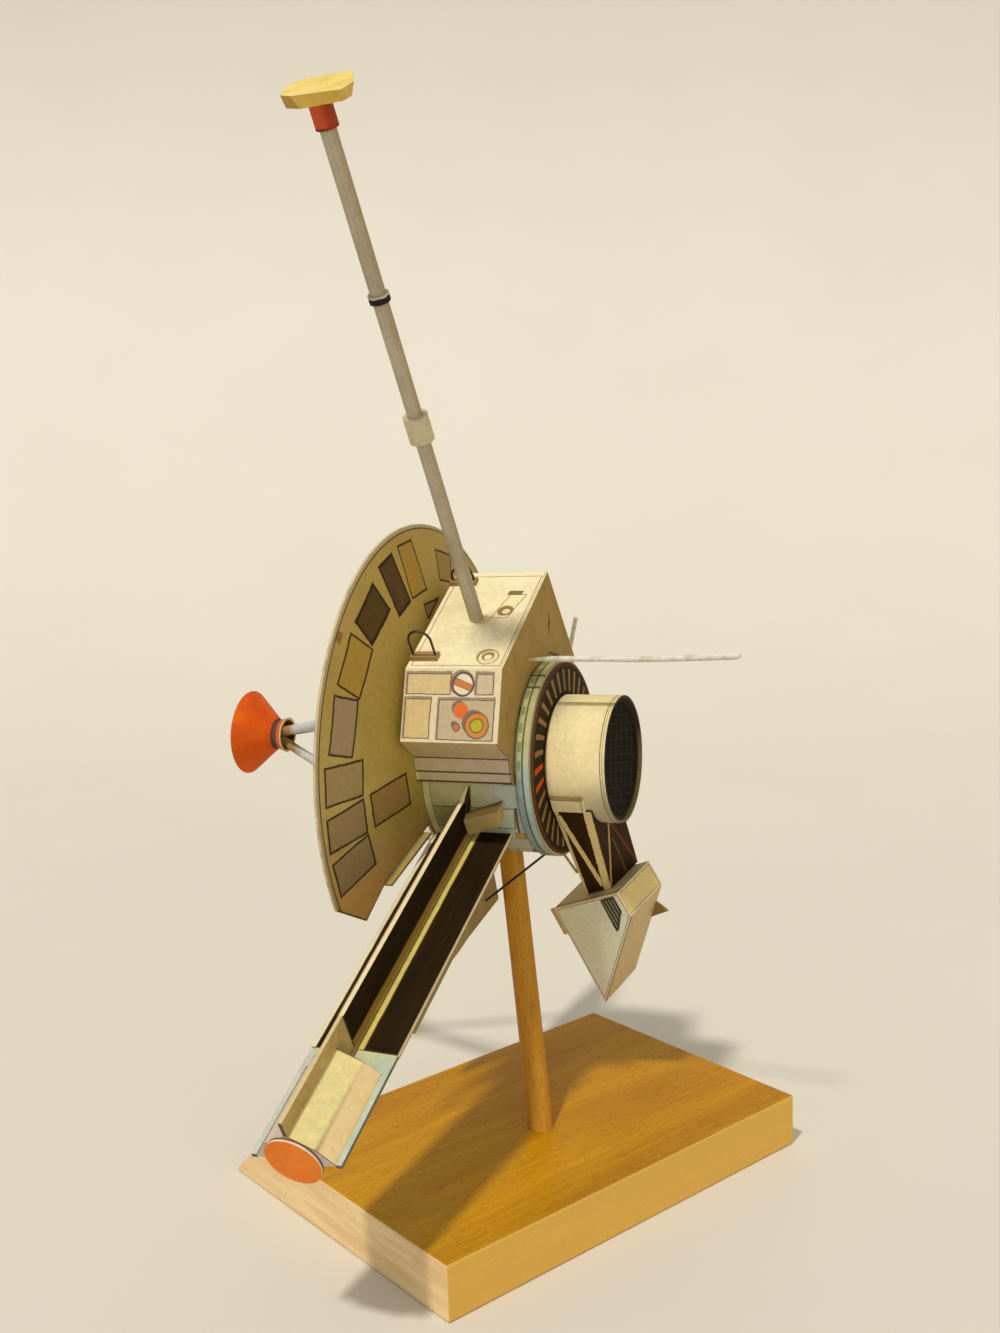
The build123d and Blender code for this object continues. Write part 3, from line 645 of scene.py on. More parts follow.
#       corners as (distance from the axis, angle); fill colour
DISH_PANELS = (
    (((74.0, 17.8), (74.0, 26.0), (57.4, 25.6), (57.5, 14.2)), rgb(172, 134, 52)),
    (((73.5, 5.6), (73.4, 13.6), (57.5, 12.2), (57.3, 2.6)), rgb(62, 40, 14)),
    (((72.0, -0.1), (61.7, 0.1), (62.5, -15.0), (71.7, -13.6)), rgb(62, 42, 16)),
    (((72.0, -17.3), (61.6, -16.2), (62.3, -32.4), (72.4, -31.3)), rgb(170, 138, 56)),
    (((70.2, 39.5), (70.3, 50.1), (59.7, 47.2), (59.6, 37.8)), rgb(158, 130, 62)),
    (((53.4, 19.9), (53.3, 32.1), (48.9, 19.2)), rgb(134, 112, 54)),
    (((72.9, -34.3), (62.7, -33.0), (63.2, -49.0), (73.0, -48.3)), rgb(162, 138, 104)),
    (((74.8, -51.6), (58.5, -49.9), (58.9, -60.5), (74.8, -60.5)), rgb(164, 140, 92)),
    (((75.0, -63.7), (58.8, -61.7), (58.9, -72.3), (75.4, -71.6)), rgb(156, 128, 88)),
    (((75.3, -74.5), (58.8, -73.1), (58.6, -83.8), (75.4, -83.4)), rgb(160, 132, 90)),
    (((55.6, -61.1), (39.0, -57.0), (38.3, -72.5), (55.3, -72.2)), rgb(150, 118, 64)),
)
#   corners of the dish's cut edge beside the boom
DISH_CUT = ((32.6, -92.6), (56.5, -92.6), (70.1, -96.3), (78.6, -85.6))
DARK_PANEL = rgb(50, 32, 14)
HIDDEN_PANEL_START = 62.0
HIDDEN_PANEL_STEP = 16.0
HIDDEN_PANEL_COUNT = 9
HIDDEN_PANEL_INKS = (rgb(160, 126, 54), rgb(156, 128, 88), rgb(164, 140, 92))
BOWL_RINGS = (20.0, 38.0, 57.0, 74.5)
BOWL_SPOKES = 12
BOWL_INK = rgb(176, 154, 110)


def dish_card():
    """The dish: printed panels on its back, faint rings and spokes in its bowl, a dark-lined rim."""
    card = Card("card_dish", rgb(188, 161, 90), rgb(200, 173, 102), drift=0.03, specular=0.12)
    radius = card.radius()
    back = card.looks(1, 0, 0, 0.3)
    front = card.looks(-1, 0, 0, 0.3)
    card.area = back
    boundary_wobble = card.wobble(0.05, 30.0)
    # olive towards the middle, by the box: partly the print's own olive, partly painted shade
    card.paint(card.ramp(card.plus(radius, boundary_wobble), 68, 44), rgb(160, 138, 54), 0.85)
    card.paint(card.ramp(card.plus(card.z, boundary_wobble), 25, 60), rgb(172, 144, 70), 0.6)
    slant = card.plus(card.times(card.z, 0.8), card.times(card.y, 0.35))
    warm = card.ramp(card.plus(slant, card.times(boundary_wobble, 0.3)), -5, -20)
    card.paint(card.times(warm, card.ramp(card.y, 25, -5, 0.3, 1.0)), rgb(220, 174, 98), 0.9)
    card.draw_on(Y_AXIS, Z_AXIS)
    for corners, fill in DISH_PANELS:
        outline = card.polygon([polar(*corner) for corner in corners])
        card.shape(outline, fill, DARK_PANEL, 0.75, strength=0.9)
        if fill[0] < OCHRE[0] / 2:
            streak = card.streaks(card.spot, (1.0, 1.2, 0.25), 0.5)
            inner = card.inked(card.plus(outline, 1.4), 1.2)
            card.paint(card.times(inner, card.ramp(streak, 0.45, 0.62)), rgb(98, 70, 32), 0.7)
            rim = card.beyond(outline, 0.45)
            card.paint(card.inked(rim, 0.4), DARK_PANEL)
    for number in range(HIDDEN_PANEL_COUNT):
        start = HIDDEN_PANEL_START + number * HIDDEN_PANEL_STEP
        corners = ((73.5, start), (73.5, start + 10.5), (59.5, start + 10.0), (59.5, start + 0.5))
        fill = HIDDEN_PANEL_INKS[number % len(HIDDEN_PANEL_INKS)]
        card.plate([polar(*corner) for corner in corners], fill, INK_LINE, 0.55)
    card.draw_line(polar(76.2, -19.0), polar(76.2, -22.0), 2.6, rgb(126, 92, 40), 0.7)
    card.band(radius, 77.0, 77.5, rgb(74, 50, 28), 0.85)
    card.band(radius, 77.5, 79.5, rgb(182, 168, 132), 0.85)
    notch = [polar(*corner) for corner in DISH_CUT]
    for start, end in zip(notch, notch[1:]):
        card.draw_line(start, end, 0.9, DARK_PANEL, 0.85)
    card.area = front
    card.paint(1.0, CREAM, 0.9)
    for ring_radius in BOWL_RINGS:
        card.band(radius, ring_radius - 0.2, ring_radius + 0.2, BOWL_INK, 0.7)
    for spoke in range(BOWL_SPOKES):
        turn = spoke * 360 / BOWL_SPOKES
        ends = polar(BOWL_RINGS[0], turn), polar(BOWL_RINGS[-1], turn)
        card.draw_line(*ends, 0.35, BOWL_INK, 0.6)
    card.area = card.times(card.minus(1.0, back), card.minus(1.0, front))
    card.paint(1.0, rgb(212, 196, 156))
    card.paint(card.cloud(0.3, 0.45, 0.7, detail=2), rgb(160, 142, 104), 0.6)
    return card.finish(core=rgb(206, 182, 132), wear=0.45)


BOX_PANEL_SLOPE = (PANEL_BOTTOM[0] - BOX_NEAR_Y, PANEL_BOTTOM[1] - BOX_TOP_Z)
BOX_PANEL_HEIGHT = math.hypot(*BOX_PANEL_SLOPE)
SHADOW_INK = rgb(126, 104, 96)
SKIRT_LINE = rgb(66, 40, 32)
PANEL_GREY = rgb(196, 178, 146)


def rectangle(left, top, right, bottom):
    """Corners of an upright rectangle."""
    return [(left, top), (right, top), (right, bottom), (left, bottom)]


def box_panel_print(card, panel):
    """The instrument panel: framed plates, a barred dial and three coloured lamps."""
    top_down = (0, BOX_PANEL_SLOPE[0] / BOX_PANEL_HEIGHT, BOX_PANEL_SLOPE[1] / BOX_PANEL_HEIGHT)
    card.draw_on(X_AXIS, top_down, (0, BOX_NEAR_Y, BOX_TOP_Z))
    card.area = panel
    card.paint(1.0, rgb(226, 210, 176), 0.85)
    plates = (
        (-32.3, 1.7, -17.5, 8.1, rgb(216, 194, 142)),
        (-8.7, 1.7, -3.2, 8.1, rgb(204, 186, 156)),
        (-32.4, 9.7, -23.9, 22.0, rgb(214, 190, 134)),
        (-20.9, 9.8, -2.4, 22.3, PANEL_GREY),
    )
    for left, top, right, bottom, fill in plates:
        shadow = rectangle(left - 0.7, top - 0.9, right + 0.3, bottom + 0.2)
        card.plate(shadow, SHADOW_INK, strength=0.75)
        card.plate(rectangle(left, top, right, bottom), fill, INK_LINE, 0.25)
    dial = (-13.2, 4.9)
    card.disc((dial[0] - 0.5, dial[1] - 0.4), 4.2, SHADOW_INK, strength=0.8)
    card.disc(dial, 3.55, rgb(232, 222, 196), rgb(84, 66, 72), 0.75)
    inside = card.circle(dial, 3.2)
    bar = card.stroke((dial[0] - 4, dial[1] - 1.4), (dial[0] + 4, dial[1] + 1.6), 2.1)
    card.shape(card.larger(inside, bar), rgb(210, 128, 74), BROWN, 0.2)
    #        x,     down,  radius, colour, rim colour, shadow offset
    lamps = (
        (-13.4, 13.2, 2.35, ORANGE, rgb(208, 128, 84), 0.9),
        (-7.9, 17.7, 3.9, rgb(204, 138, 66), rgb(132, 84, 62), 1.0),
        (-14.6, 18.3, 1.15, rgb(196, 122, 98), rgb(140, 84, 80), 0.8),
    )
    for x, down, size, fill, rim, lift in lamps:
        card.disc((x - lift, down - lift), size, SHADOW_INK, strength=0.9)
        card.disc((x, down), size, fill, rim, 0.5)
    card.disc((-7.9, 17.7), 2.15, YELLOW_GREEN, BROWN, 0.35)


def box_top_print(card, top):
    """The box's lid: a double border, a round vent, a small camera and its plate."""
    card.draw_on(X_AXIS, Y_AXIS)
    card.area = top
    left, right, near, far = -31.8, -1.9, BOX_NEAR_Y + 1.5, BOX_FAR_Y - 2.4
    border = ((left, far), (left, near), (right, near), (right, far))
    for start, end in zip(border, border[1:] + border[:1]):
        card.draw_line(start, end, 0.3, INK_LINE, 0.8)
    card.draw_line((-1.2, BOX_NEAR_Y), (-1.2, BOX_FAR_Y), 0.22, INK_LINE, 0.6)
    ring = (-7.1, -8.7)
    card.disc((MAST_X + 2.2, MAST_Y - 0.6), 2.6, rgb(214, 176, 96), strength=0.55)
    card.disc((ring[0] - 0.9, ring[1] + 0.9), 3.3, rgb(146, 122, 66), strength=0.8)
    card.disc(ring, 3.4, rgb(236, 222, 176), rgb(140, 116, 70), 0.4)
    card.disc((ring[0] - 0.2, ring[1] + 0.5), 1.9, rgb(160, 136, 84), INK_LINE, 0.25)
    card.disc(ring, 1.25, rgb(246, 232, 182))
    plate = [(-12.9, 11.6), (-7.3, 11.6), (-4.2, 24.2), (-9.8, 24.2)]
    card.plate(plate, rgb(246, 230, 176), rgb(136, 112, 66), 0.35)
    card.disc((-8.9, 15.4), 2.7, rgb(130, 100, 56), strength=0.9)
    card.disc((-8.5, 15.0), 1.5, rgb(240, 218, 164), BROWN, 0.3)
    foot = [(-10.9, 24.2), (-6.2, 24.2), (-5.8, 26.0), (-10.5, 26.0)]
    card.plate(foot, rgb(128, 116, 70), INK_LINE, 0.3)


def box_card():
    """The equipment box: each face has its own ground colour and print; the right face also carries
    painted shade and the underside painted bounce light.
    """
    card = Card("card_box", rgb(250, 236, 190), rgb(252, 240, 200), drift=0.05)
    top = card.looks(0, 0, 1, 0.9)
    right = card.looks(1, 0, 0, 0.9)
    panel = card.looks(0, BOX_PANEL_SLOPE[1], -BOX_PANEL_SLOPE[0], 0.95)
    below = card.looks(0, -1, -0.05, 0.8)
    box_panel_print(card, panel)
    box_top_print(card, top)
    card.area = right
    card.draw_on(Y_AXIS, Z_AXIS)
    # ochre-brown right face: its print, darkened with painted shade
    card.paint(1.0, rgb(162, 126, 42), 0.92)
    card.paint(card.ramp(card.z, 26, 10), rgb(152, 136, 66), 0.7)
    card.paint(card.cloud(0.12, 0.5, 0.7), rgb(150, 112, 48), 0.5)
    card.draw_line((29.4, 37.9), (25.0, 32.4), 0.8, DARK_BROWN, 0.85)
    card.disc((27.3, 35.1), 0.95, DARK_BROWN, strength=0.8)
    card.draw_line((21.0, 27.6), (28.4, 20.6), 0.9, DARK_BROWN, 0.75)
    fold = ((BOX_NEAR_Y + 0.6, BOX_TOP_Z), (PANEL_BOTTOM[0] + 0.7, PANEL_BOTTOM[1]))
    card.draw_line(*fold, 0.3, rgb(206, 178, 116), 0.6)
    # underside's chamfer and skirt: lightened as painted bounce light from the table, greyer towards
    # the right as painted shade
    card.area = below
    across = card.ramp(card.x, -32, -4)
    card.paint(1.0, rgb(198, 176, 128))
    card.paint(across, rgb(200, 178, 158), 0.9)
    card.paint(card.ramp(card.z, 22, 26), rgb(196, 172, 118), 0.5)
    for height, width in ((23.4, 0.6), (18.9, 0.5), (15.8, 0.8)):
        card.band(card.z, height - width / 2, height + width / 2, SKIRT_LINE, 0.95)
    card.band(card.x, -1.1, -0.7, SKIRT_LINE, 0.8)
    return card.finish(wear=0.65)


DRUM_PLATE_ROWS = 9
DRUM_PLATE_PHASE = 11.6675


def drum_card():
    """The drum: grey-green to blue-grey, slanting plates round it, a pale strip by the dish."""
    card = Card("card_drum", rgb(178, 172, 116), rgb(188, 182, 128), drift=0.05)
    card.paint(card.ramp(card.x, -18, -3), rgb(182, 194, 188), 0.9)
    angle = card.angle()
    turns = card.times(angle, DRUM_PLATE_ROWS / math.tau)
    share = card.math("FRACT", card.plus(turns, DRUM_PLATE_PHASE))
    arc = card.times(card.minus(share, 0.5), math.tau * DRUM_RADIUS / DRUM_PLATE_ROWS)
    card.chart = card.join(card.x, arc, 1.0)
    plates = (
        ((-32.0, -22.4, -24.4, -34.3), rgb(156, 152, 100), rgb(84, 84, 46)),
        ((-19.0, -10.6, -12.4, -20.8), rgb(164, 162, 118), rgb(96, 94, 62)),
        ((-7.2, -1.9, -3.4, -8.9), rgb(190, 198, 176), rgb(92, 92, 66)),
    )
    for (top_left, top_right, foot_right, foot_left), fill, line in plates:
        corners = [(top_left, 4.1), (top_right, 4.1), (foot_right, -4.2), (foot_left, -4.2)]
        card.plate(corners, fill, line, 0.4)
    card.draw_line((-1.4, 4.6), (-2.6, -6.2), 0.8, rgb(96, 44, 28), 0.9)
    card.draw_line((-30.0, 4.1), (-3.0, 4.1), 0.25, rgb(96, 92, 60), 0.6)
    tag = [(-4.0, -6.4), (-0.4, -6.4), (-0.4, -9.6), (-4.6, -9.6)]
    card.plate(tag, rgb(184, 148, 78), BROWN, 0.3)
    card.band(card.x, -33.0, -30.4, rgb(206, 198, 136), 0.85)
    card.band(card.x, -30.5, -30.15, rgb(120, 110, 66), 0.6)
    return card.finish()


RING_BLOBS = 34
RING_BLUE = {"card_ring_inner": rgb(134, 160, 162), "card_ring_outer": rgb(166, 190, 186)}


def ring_card(name, blobs):
    """A rim ring: yellow-green at the top turning pale blue below, with darker rectangles."""
    card = Card(name, rgb(188, 188, 128), rgb(196, 194, 138), drift=0.08)
    card.paint(card.ramp(card.z, 26, 15), RING_BLUE[name], 0.95)
    card.paint(card.ramp(card.z, -8, -24), rgb(132, 128, 80), 0.85)
    angle = card.angle()
    if blobs:
        turns = card.times(angle, RING_BLOBS / math.tau)
        share = card.math("FRACT", card.plus(turns, RING_BLOBS + 0.5))
        off = card.beyond(card.minus(share, 0.5), 0.26)
        mask = card.inked(card.times(off, 6.0))
        middle = card.beyond(card.minus(card.x, RING_THICKNESS / 2), 0.62)
        upper = card.ramp(card.z, 14, 19)
        card.paint(card.times(card.times(mask, upper), card.inked(middle)), MOSS, 0.75)
    for edge, half_line in ((0.0, 0.2), (RING_THICKNESS, 0.3), (RING_THICKNESS * 2, 0.2)):
        card.band(card.x, edge - half_line, edge + half_line, rgb(44, 52, 42), 0.9)
    for turned_to in (-5.0, 5.5):
        crossing = card.minus(card.times(angle, RING_RADIUS), math.radians(turned_to) * RING_RADIUS)
        card.band(crossing, -0.5, 0.5, rgb(72, 66, 34), 0.85)
    side = card.looks(1, 0, 0, 0.9)
    card.area = side
    card.paint(1.0, rgb(196, 184, 130), 0.9)
    return card.finish()


LOUVER_COUNT = 32
LOUVER_INNER = 22.2
LOUVER_OUTER = 29.4
LOUVER_SLANT = 0.008
LOUVER_FIRST = 57.8 / (360 / LOUVER_COUNT)


def louver_card():
    """The louver disc: slanting tan slats on near-black, two of them red, inside a brown rim."""
    card = Card("card_louvers", rgb(42, 28, 14), rgb(54, 36, 20), drift=0.12, specular=0.1)
    radius = card.radius()
    angle = card.angle()
    slant = card.times(card.minus(radius, LOUVER_OUTER), LOUVER_SLANT)
    turns = card.times(card.plus(angle, slant), LOUVER_COUNT / math.tau)
    shifted = card.plus(turns, LOUVER_COUNT + LOUVER_FIRST + 0.5)
    share = card.minus(card.math("FRACT", shifted), 0.5)
    arc = card.times(card.times(share, radius), math.tau / LOUVER_COUNT)
    half = card.ramp(radius, LOUVER_INNER, LOUVER_OUTER, 0.7, 1.0)
    distance = card.beyond(arc, half)
    middle = (LOUVER_INNER + LOUVER_OUTER) / 2
    span = card.beyond(card.minus(radius, middle), (LOUVER_OUTER - LOUVER_INNER) / 2)
    slat = card.inked(card.larger(distance, span))
    number = card.math("FLOOR", shifted)
    vary = card.noise(card.join(number, 0, 0), 0.73, detail=0)
    card.paint(slat, card.mix(vary, rgb(118, 88, 42), rgb(178, 146, 88)), 0.92)
    first_red = LOUVER_COUNT
    red = card.math("COMPARE", number, first_red, 0.2)
    red = card.plus(red, card.math("COMPARE", number, first_red - 1, 0.2))
    card.paint(card.times(slat, red), rgb(214, 76, 24))
    card.band(radius, 30.2, 31.8, rgb(84, 48, 26), 0.95)
    card.band(radius, 20.2, 21.6, rgb(24, 16, 10), 0.9)
    return card.finish(wear=0.35)


def adapter_card():
    """The adapter cylinder: cream outside with a glued seam and a double line, greyer to its lower
    right as painted shade; dark inside as painted shade, its lower inner wall painted lighter as
    painted light.
    """
    card = Card("card_adapter", rgb(240, 224, 166), rgb(246, 232, 182), drift=0.05)
    radius = card.radius()
    angle = card.angle()
    arc = card.times(angle, ADAPTER_RADIUS)
    cloud = card.wobble(0.14, 8.0)
    # greyer, darker lower right of the outside: painted shade
    shade = card.plus(card.times(card.z, -1.0), card.times(card.x, 0.9))
    card.paint(card.ramp(card.plus(shade, cloud), 8, 25), rgb(184, 178, 156), 0.95)
    seam = math.radians(11) * ADAPTER_RADIUS
    card.band(arc, seam - 0.14, seam + 0.18, rgb(140, 112, 64), 0.85)
    card.band(card.x, 23.7, 24.05, rgb(96, 90, 66), 0.85)
    card.band(card.x, 24.5, 24.75, rgb(128, 120, 96), 0.8)
    card.band(card.x, 5.3, 5.9, DARK_BROWN, 0.9)
    card.cover(1, 0, 0, 0.8, rgb(66, 56, 36))
    # inside painted near-black as painted shade, its lower inner wall lighter as painted light
    card.area = card.math("LESS_THAN", radius, ADAPTER_RADIUS - CARD_THICKNESS / 2)
    card.paint(1.0, rgb(44, 36, 20), 0.95)
    card.paint(card.ramp(card.plus(card.z, cloud), -2, -12), rgb(150, 136, 74), 0.9)
    return card.finish(core=rgb(120, 104, 66), wear=0.5)


GRID_TURN = math.radians(50)
GRID_ACROSS = 5.6
GRID_DOWN = 2.6
GRID_EDGE_RADIUS = 18.4


def grid_card():
    """The disc in the adapter's end: a fine pale grid on near-black inside an olive border."""
    card = Card("card_grid", rgb(15, 11, 6), rgb(22, 16, 9), drift=0.1, specular=0.04)
    sine, cosine = math.sin(GRID_TURN), math.cos(GRID_TURN)
    cells = []
    for direction, pitch in (((0, sine, -cosine), GRID_ACROSS), ((0, cosine, sine), GRID_DOWN)):
        along = card.dot(card.spot, direction)
        row = card.math("DIVIDE", card.plus(along, 100.0), pitch)
        cells.append(card.math("FLOOR", row))
        middle = card.magnitude(card.minus(card.math("FRACT", row), 0.5))
        distance = card.minus(card.times(card.minus(0.5, middle), pitch), pitch * 0.06)
        card.paint(card.inked(distance, 0.25), rgb(54, 46, 30), 0.7)
    number = card.vector("MULTIPLY", card.join(cells[0], cells[1], 0.0), (0.37, 0.61, 0.0))
    card.paint(card.ramp(card.noise(number, 1.0, detail=0), 0.5, 0.6), rgb(34, 25, 11), 0.4)
    radius = card.radius()
    card.paint(card.ramp(radius, GRID_EDGE_RADIUS, GRID_EDGE_RADIUS + 0.6), rgb(62, 56, 34), 0.8)
    return card.finish(wear=0.3)


def horn_axis(card):
    """Distance along the horn's own, slightly raised axis, as the probe's x of the same point."""
    slope = math.tan(math.radians(HORN_TILT))
    return card.plus(card.x, card.times(card.minus(card.z, HORN_OFFSET), -slope))


def horn_card():
    """The feed horn's card cone: orange outside, paler orange inside."""
    card = Card("card_horn", HORN_ORANGE, rgb(240, 108, 14), drift=0.09, roughness=0.62)
    card.paint(card.cloud(0.12, 0.4, 0.75, detail=4), rgb(206, 72, 8), 0.5)
    card.cover(-1, 0, 0, 0.35, rgb(226, 150, 92))
    return card.finish(core=CREAM_GREY, wear=0.3)


def band_card():
    """The throat of the horn: the cone's orange runs on, then a violet-grey band."""
    card = Card("card_horn_band", HORN_ORANGE, rgb(228, 88, 10), drift=0.09)
    violet = card.ramp(horn_axis(card), HORN_VIOLET_X - 0.1, HORN_VIOLET_X + 0.1)
    card.paint(violet, rgb(96, 70, 64), 0.95)
    return card.finish(wear=0.0)


def neck_card():
    """The horn's neck: violet-grey, then pink-red outside with a cream lip; inside dark brown as
    painted shade, with golden glue.
    """
    card = Card("card_neck", rgb(96, 70, 64), rgb(110, 82, 74), drift=0.12)
    along = horn_axis(card)
    card.paint(card.ramp(along, HORN_RED_X - 0.15, HORN_RED_X + 0.15), rgb(216, 100, 62), 0.95)
    card.band(along, HORN_LIP_X - 0.45, HORN_LIP_X + 0.5, rgb(232, 214, 160), 0.9)
    card.area = card.looks(1, 0, 0, 0.3)
    glue = card.cloud(0.3, 0.45, 0.6, detail=2)
    # dark brown inside: painted shade in the opening; the golden patches are glue
    card.paint(1.0, rgb(56, 36, 16))
    card.paint(glue, rgb(126, 90, 22), 0.7)
    card.band(along, HORN_LIP_X - 0.12, HORN_LIP_X + 0.5, rgb(232, 214, 160), 0.9)
    return card.finish(core=rgb(232, 214, 168), wear=0.9, rounding=0.5)


def leg_paint():
    """The tripod legs: blue-white paint with golden glue where they leave the neck."""
    whites = rgb(198, 204, 216), rgb(212, 214, 220)
    card = Card("paint_leg", *whites, drift=0.2, roughness=0.45, specular=0.4)
    smear = card.times(card.noise(card.spot, 0.5, detail=2), 3.0)
    start = card.plus(card.x, smear)
    card.paint(card.ramp(start, HORN_LIP_X + 8.0, HORN_LIP_X + 4.5), rgb(158, 116, 30), 0.9)
    card.paint(card.cloud(0.25, 0.55, 0.7), rgb(176, 166, 140), 0.6)
    return card.finish(wear=0.0)


def plain_card(name, base, second, **settings):
    """Card with no print but its ground colour."""
    return Card(name, base, second).finish(**settings)


def mast_paper():
    """The mast: a rolled grey-beige paper tube, browner on its right side as painted shade, with a
    lapped seam.
    """
    card = Card("paper_mast", rgb(192, 182, 158), rgb(202, 192, 168), drift=0.05)
    streaks = card.streaks(card.spot, (1.0, 1.0, 0.06), 0.9, detail=4)
    card.paint(card.ramp(streaks, 0.45, 0.75), rgb(170, 158, 132), 0.5)
    # browner right side: painted shade
    right = card.ramp(card.x, MAST_X + 0.6, MAST_X + 2.4)
    card.paint(right, rgb(160, 132, 82), 0.5)
    card.band(card.x, MAST_X + 0.5, MAST_X + 0.65, rgb(124, 108, 80), 0.45)
    return card.finish()


def mast_ring_card():
    """The ring on the mast: black tape with a pale upper lip."""
    card = Card("card_mast_ring", rgb(24, 22, 20), rgb(34, 30, 26), drift=0.2, roughness=0.5)
    lip = MAST_RING_Z + MAST_RING_LENGTH
    ragged = card.plus(card.z, card.times(card.noise(card.spot, 0.8, detail=2), 0.9))
    card.paint(card.ramp(ragged, lip - 0.25, lip - 0.05), rgb(206, 200, 180), 0.9)
    return card.finish(wear=0.1)


BOOM_DARK = rgb(32, 22, 8)
#         turn, side of its printed inner strip (+1 or -1), strip's width, strip's colour
FINS = {
    "right": (0.0, 1, 3.3, rgb(220, 204, 116)),
    "up": (90.0, -1, 3.9, rgb(160, 128, 56)),
    "left": (188.0, -1, 0.0, None),
    "down": (270.0, 1, 0.0, None),
}
OUTER_BORDER = 1.6


def boom_fin_card(name):
    """A boom fin: near-black faces, cream cut edge, a pale strip along its root on one side."""
    turn, side, strip, strip_colour = FINS[name]
    local_frame = BOOM @ turned("Z", turn)
    card = Card(f"card_fin_{name}", BOOM_DARK, rgb(46, 32, 14), local_frame, drift=0.03, specular=0.06)
    brushed = card.streaks(card.spot, (1.0, 1.0, 0.05), 0.8, detail=4)
    card.paint(card.ramp(brushed, 0.45, 0.8), rgb(70, 48, 18), 0.35)
    card.area = card.looks(0, side, 0, 0.8)
    wander = card.wobble(0.06, 0.9, 2)
    along = card.plus(card.x, wander)
    if strip:
        card.band(along, -1.0, strip, strip_colour, 0.95, soft=0.4)
        card.band(along, strip - 0.1, strip + 0.3, rgb(108, 74, 36), 0.8)
    if name == "left":
        border = FIN_REACH - OUTER_BORDER
        card.band(along, border, FIN_REACH + 1.0, rgb(238, 230, 196), 0.95)
        card.band(along, border - 0.35, border, BROWN, 0.7)
    card.cover(1, 0, 0, 0.8, rgb(234, 218, 176))
    card.band(card.y, side * 0.62, side * 0.9, rgb(124, 92, 50), 0.7)
    card.paint(card.ramp(card.times(card.y, -side), 0.42, 0.56), rgb(96, 66, 34), 0.85)
    return card.finish(core=rgb(206, 186, 140), wear=0.35)


def spine_card():
    """The boom's spine: a golden-brown rolled strip."""
    card = Card("card_spine", rgb(186, 152, 70), rgb(196, 164, 82), BOOM, drift=0.08)
    return card.finish(wear=0.3)


def generator_fin_card(name, base, second, accent):
    """A printed fin of the generator: soft tinted cloud, greener by the boom, dark cut edge."""
    turn = FINS[name][0]
    local_frame = BOOM @ turned("Z", turn)
    card = Card(f"card_generator_{name}", base, second, local_frame, drift=0.09)
    cloud = card.noise(card.spot, 0.16, distortion=0.8)
    card.paint(card.ramp(cloud, 0.5, 0.66), accent, 0.5)
    if name in ("right", "left"):
        by_boom = card.plus(card.z, card.times(card.x, 0.35))
        card.paint(card.ramp(by_boom, 132, 125), rgb(208, 212, 158), 0.9)
    if name == "left":
        card.area = card.ramp(card.z, 125, 131)
        card.paint(card.ramp(card.x, FIN_REACH - 1.0, FIN_REACH - 2.6), rgb(210, 200, 194), 0.9)
    card.cover(1, 0, 0, 0.8, rgb(216, 198, 148) if name == "up" else rgb(92, 80, 78), 0.85)
    card.cover(0, 0, 1, 0.8, rgb(84, 70, 66), 0.9)
    return card.finish(wear=0.3)


def generator_card():
    """The generator's body: folded faces in yellow-cream, peach and lilac, with a shaded fold."""
    card = Card("card_generator", rgb(214, 196, 150), rgb(222, 206, 164), BOOM, drift=0.07)
    #  outward direction in the boom's section, ground, cloud colour
    faces = (
        ((0.456, 0.89), rgb(230, 214, 148), rgb(206, 206, 146)),
        ((0.743, 0.67), rgb(234, 208, 154), rgb(228, 198, 148)),
        ((-0.523, 0.852), rgb(206, 192, 176), rgb(190, 178, 170)),
        ((-0.828, 0.56), rgb(202, 194, 184), rgb(190, 182, 178)),
    )
    cloud = card.cloud(0.2, 0.46, 0.62, distortion=0.5)
    for (across, rise), ground, tint in faces:
        card.cover(across, rise, 0, 0.98, ground)
        card.paint(cloud, tint, 0.4)
    # painted shade along the fold, stronger towards the body's far end
    card.area = card.ramp(card.z, BOOM_LENGTH + 10, BOOM_LENGTH + GENERATOR_LENGTH, 0.2, 0.9)
    arc = card.times(card.math("ARCTAN2", card.y, card.x), GENERATOR_FOLD)
    fold = math.radians(GENERATOR_FOLD_ANGLE) * GENERATOR_FOLD
    card.band(arc, fold - 0.5, fold + 0.3, rgb(150, 134, 108), 0.9, soft=1.0)
    start = BOOM_LENGTH + GENERATOR_SETBACK
    end = BOOM_LENGTH + GENERATOR_LENGTH
    card.area = card.ramp(card.x, 9.0, 6.5)
    card.band(card.z, start - 0.2, start + 0.35, rgb(78, 60, 46), 0.85)
    card.area = None
    # dark line at the far end: painted shadow of the end disc's rim
    card.band(card.z, end - 0.3, end + 0.1, rgb(78, 62, 60), 0.85)
    card.cover(0, 0, 1, 0.8, rgb(216, 206, 196), 0.9)
    return card.finish(wear=0.25)


def end_disc_card():
    """The generator's end disc: orange face, pale cut edge, a dark line behind it."""
    card = Card("card_end_disc", rgb(255, 134, 38), rgb(255, 142, 44), BOOM, drift=0.06)
    outward = card.looks(0, 0, 1, 0.8)
    card.area = card.minus(1.0, outward)
    card.paint(1.0, rgb(240, 208, 182), 0.95)
    rear = BOOM_LENGTH + GENERATOR_LENGTH
    card.band(card.z, rear - 0.2, rear + 0.55, rgb(88, 60, 60), 0.95)
    return card.finish(core=rgb(232, 160, 110), wear=0.2)


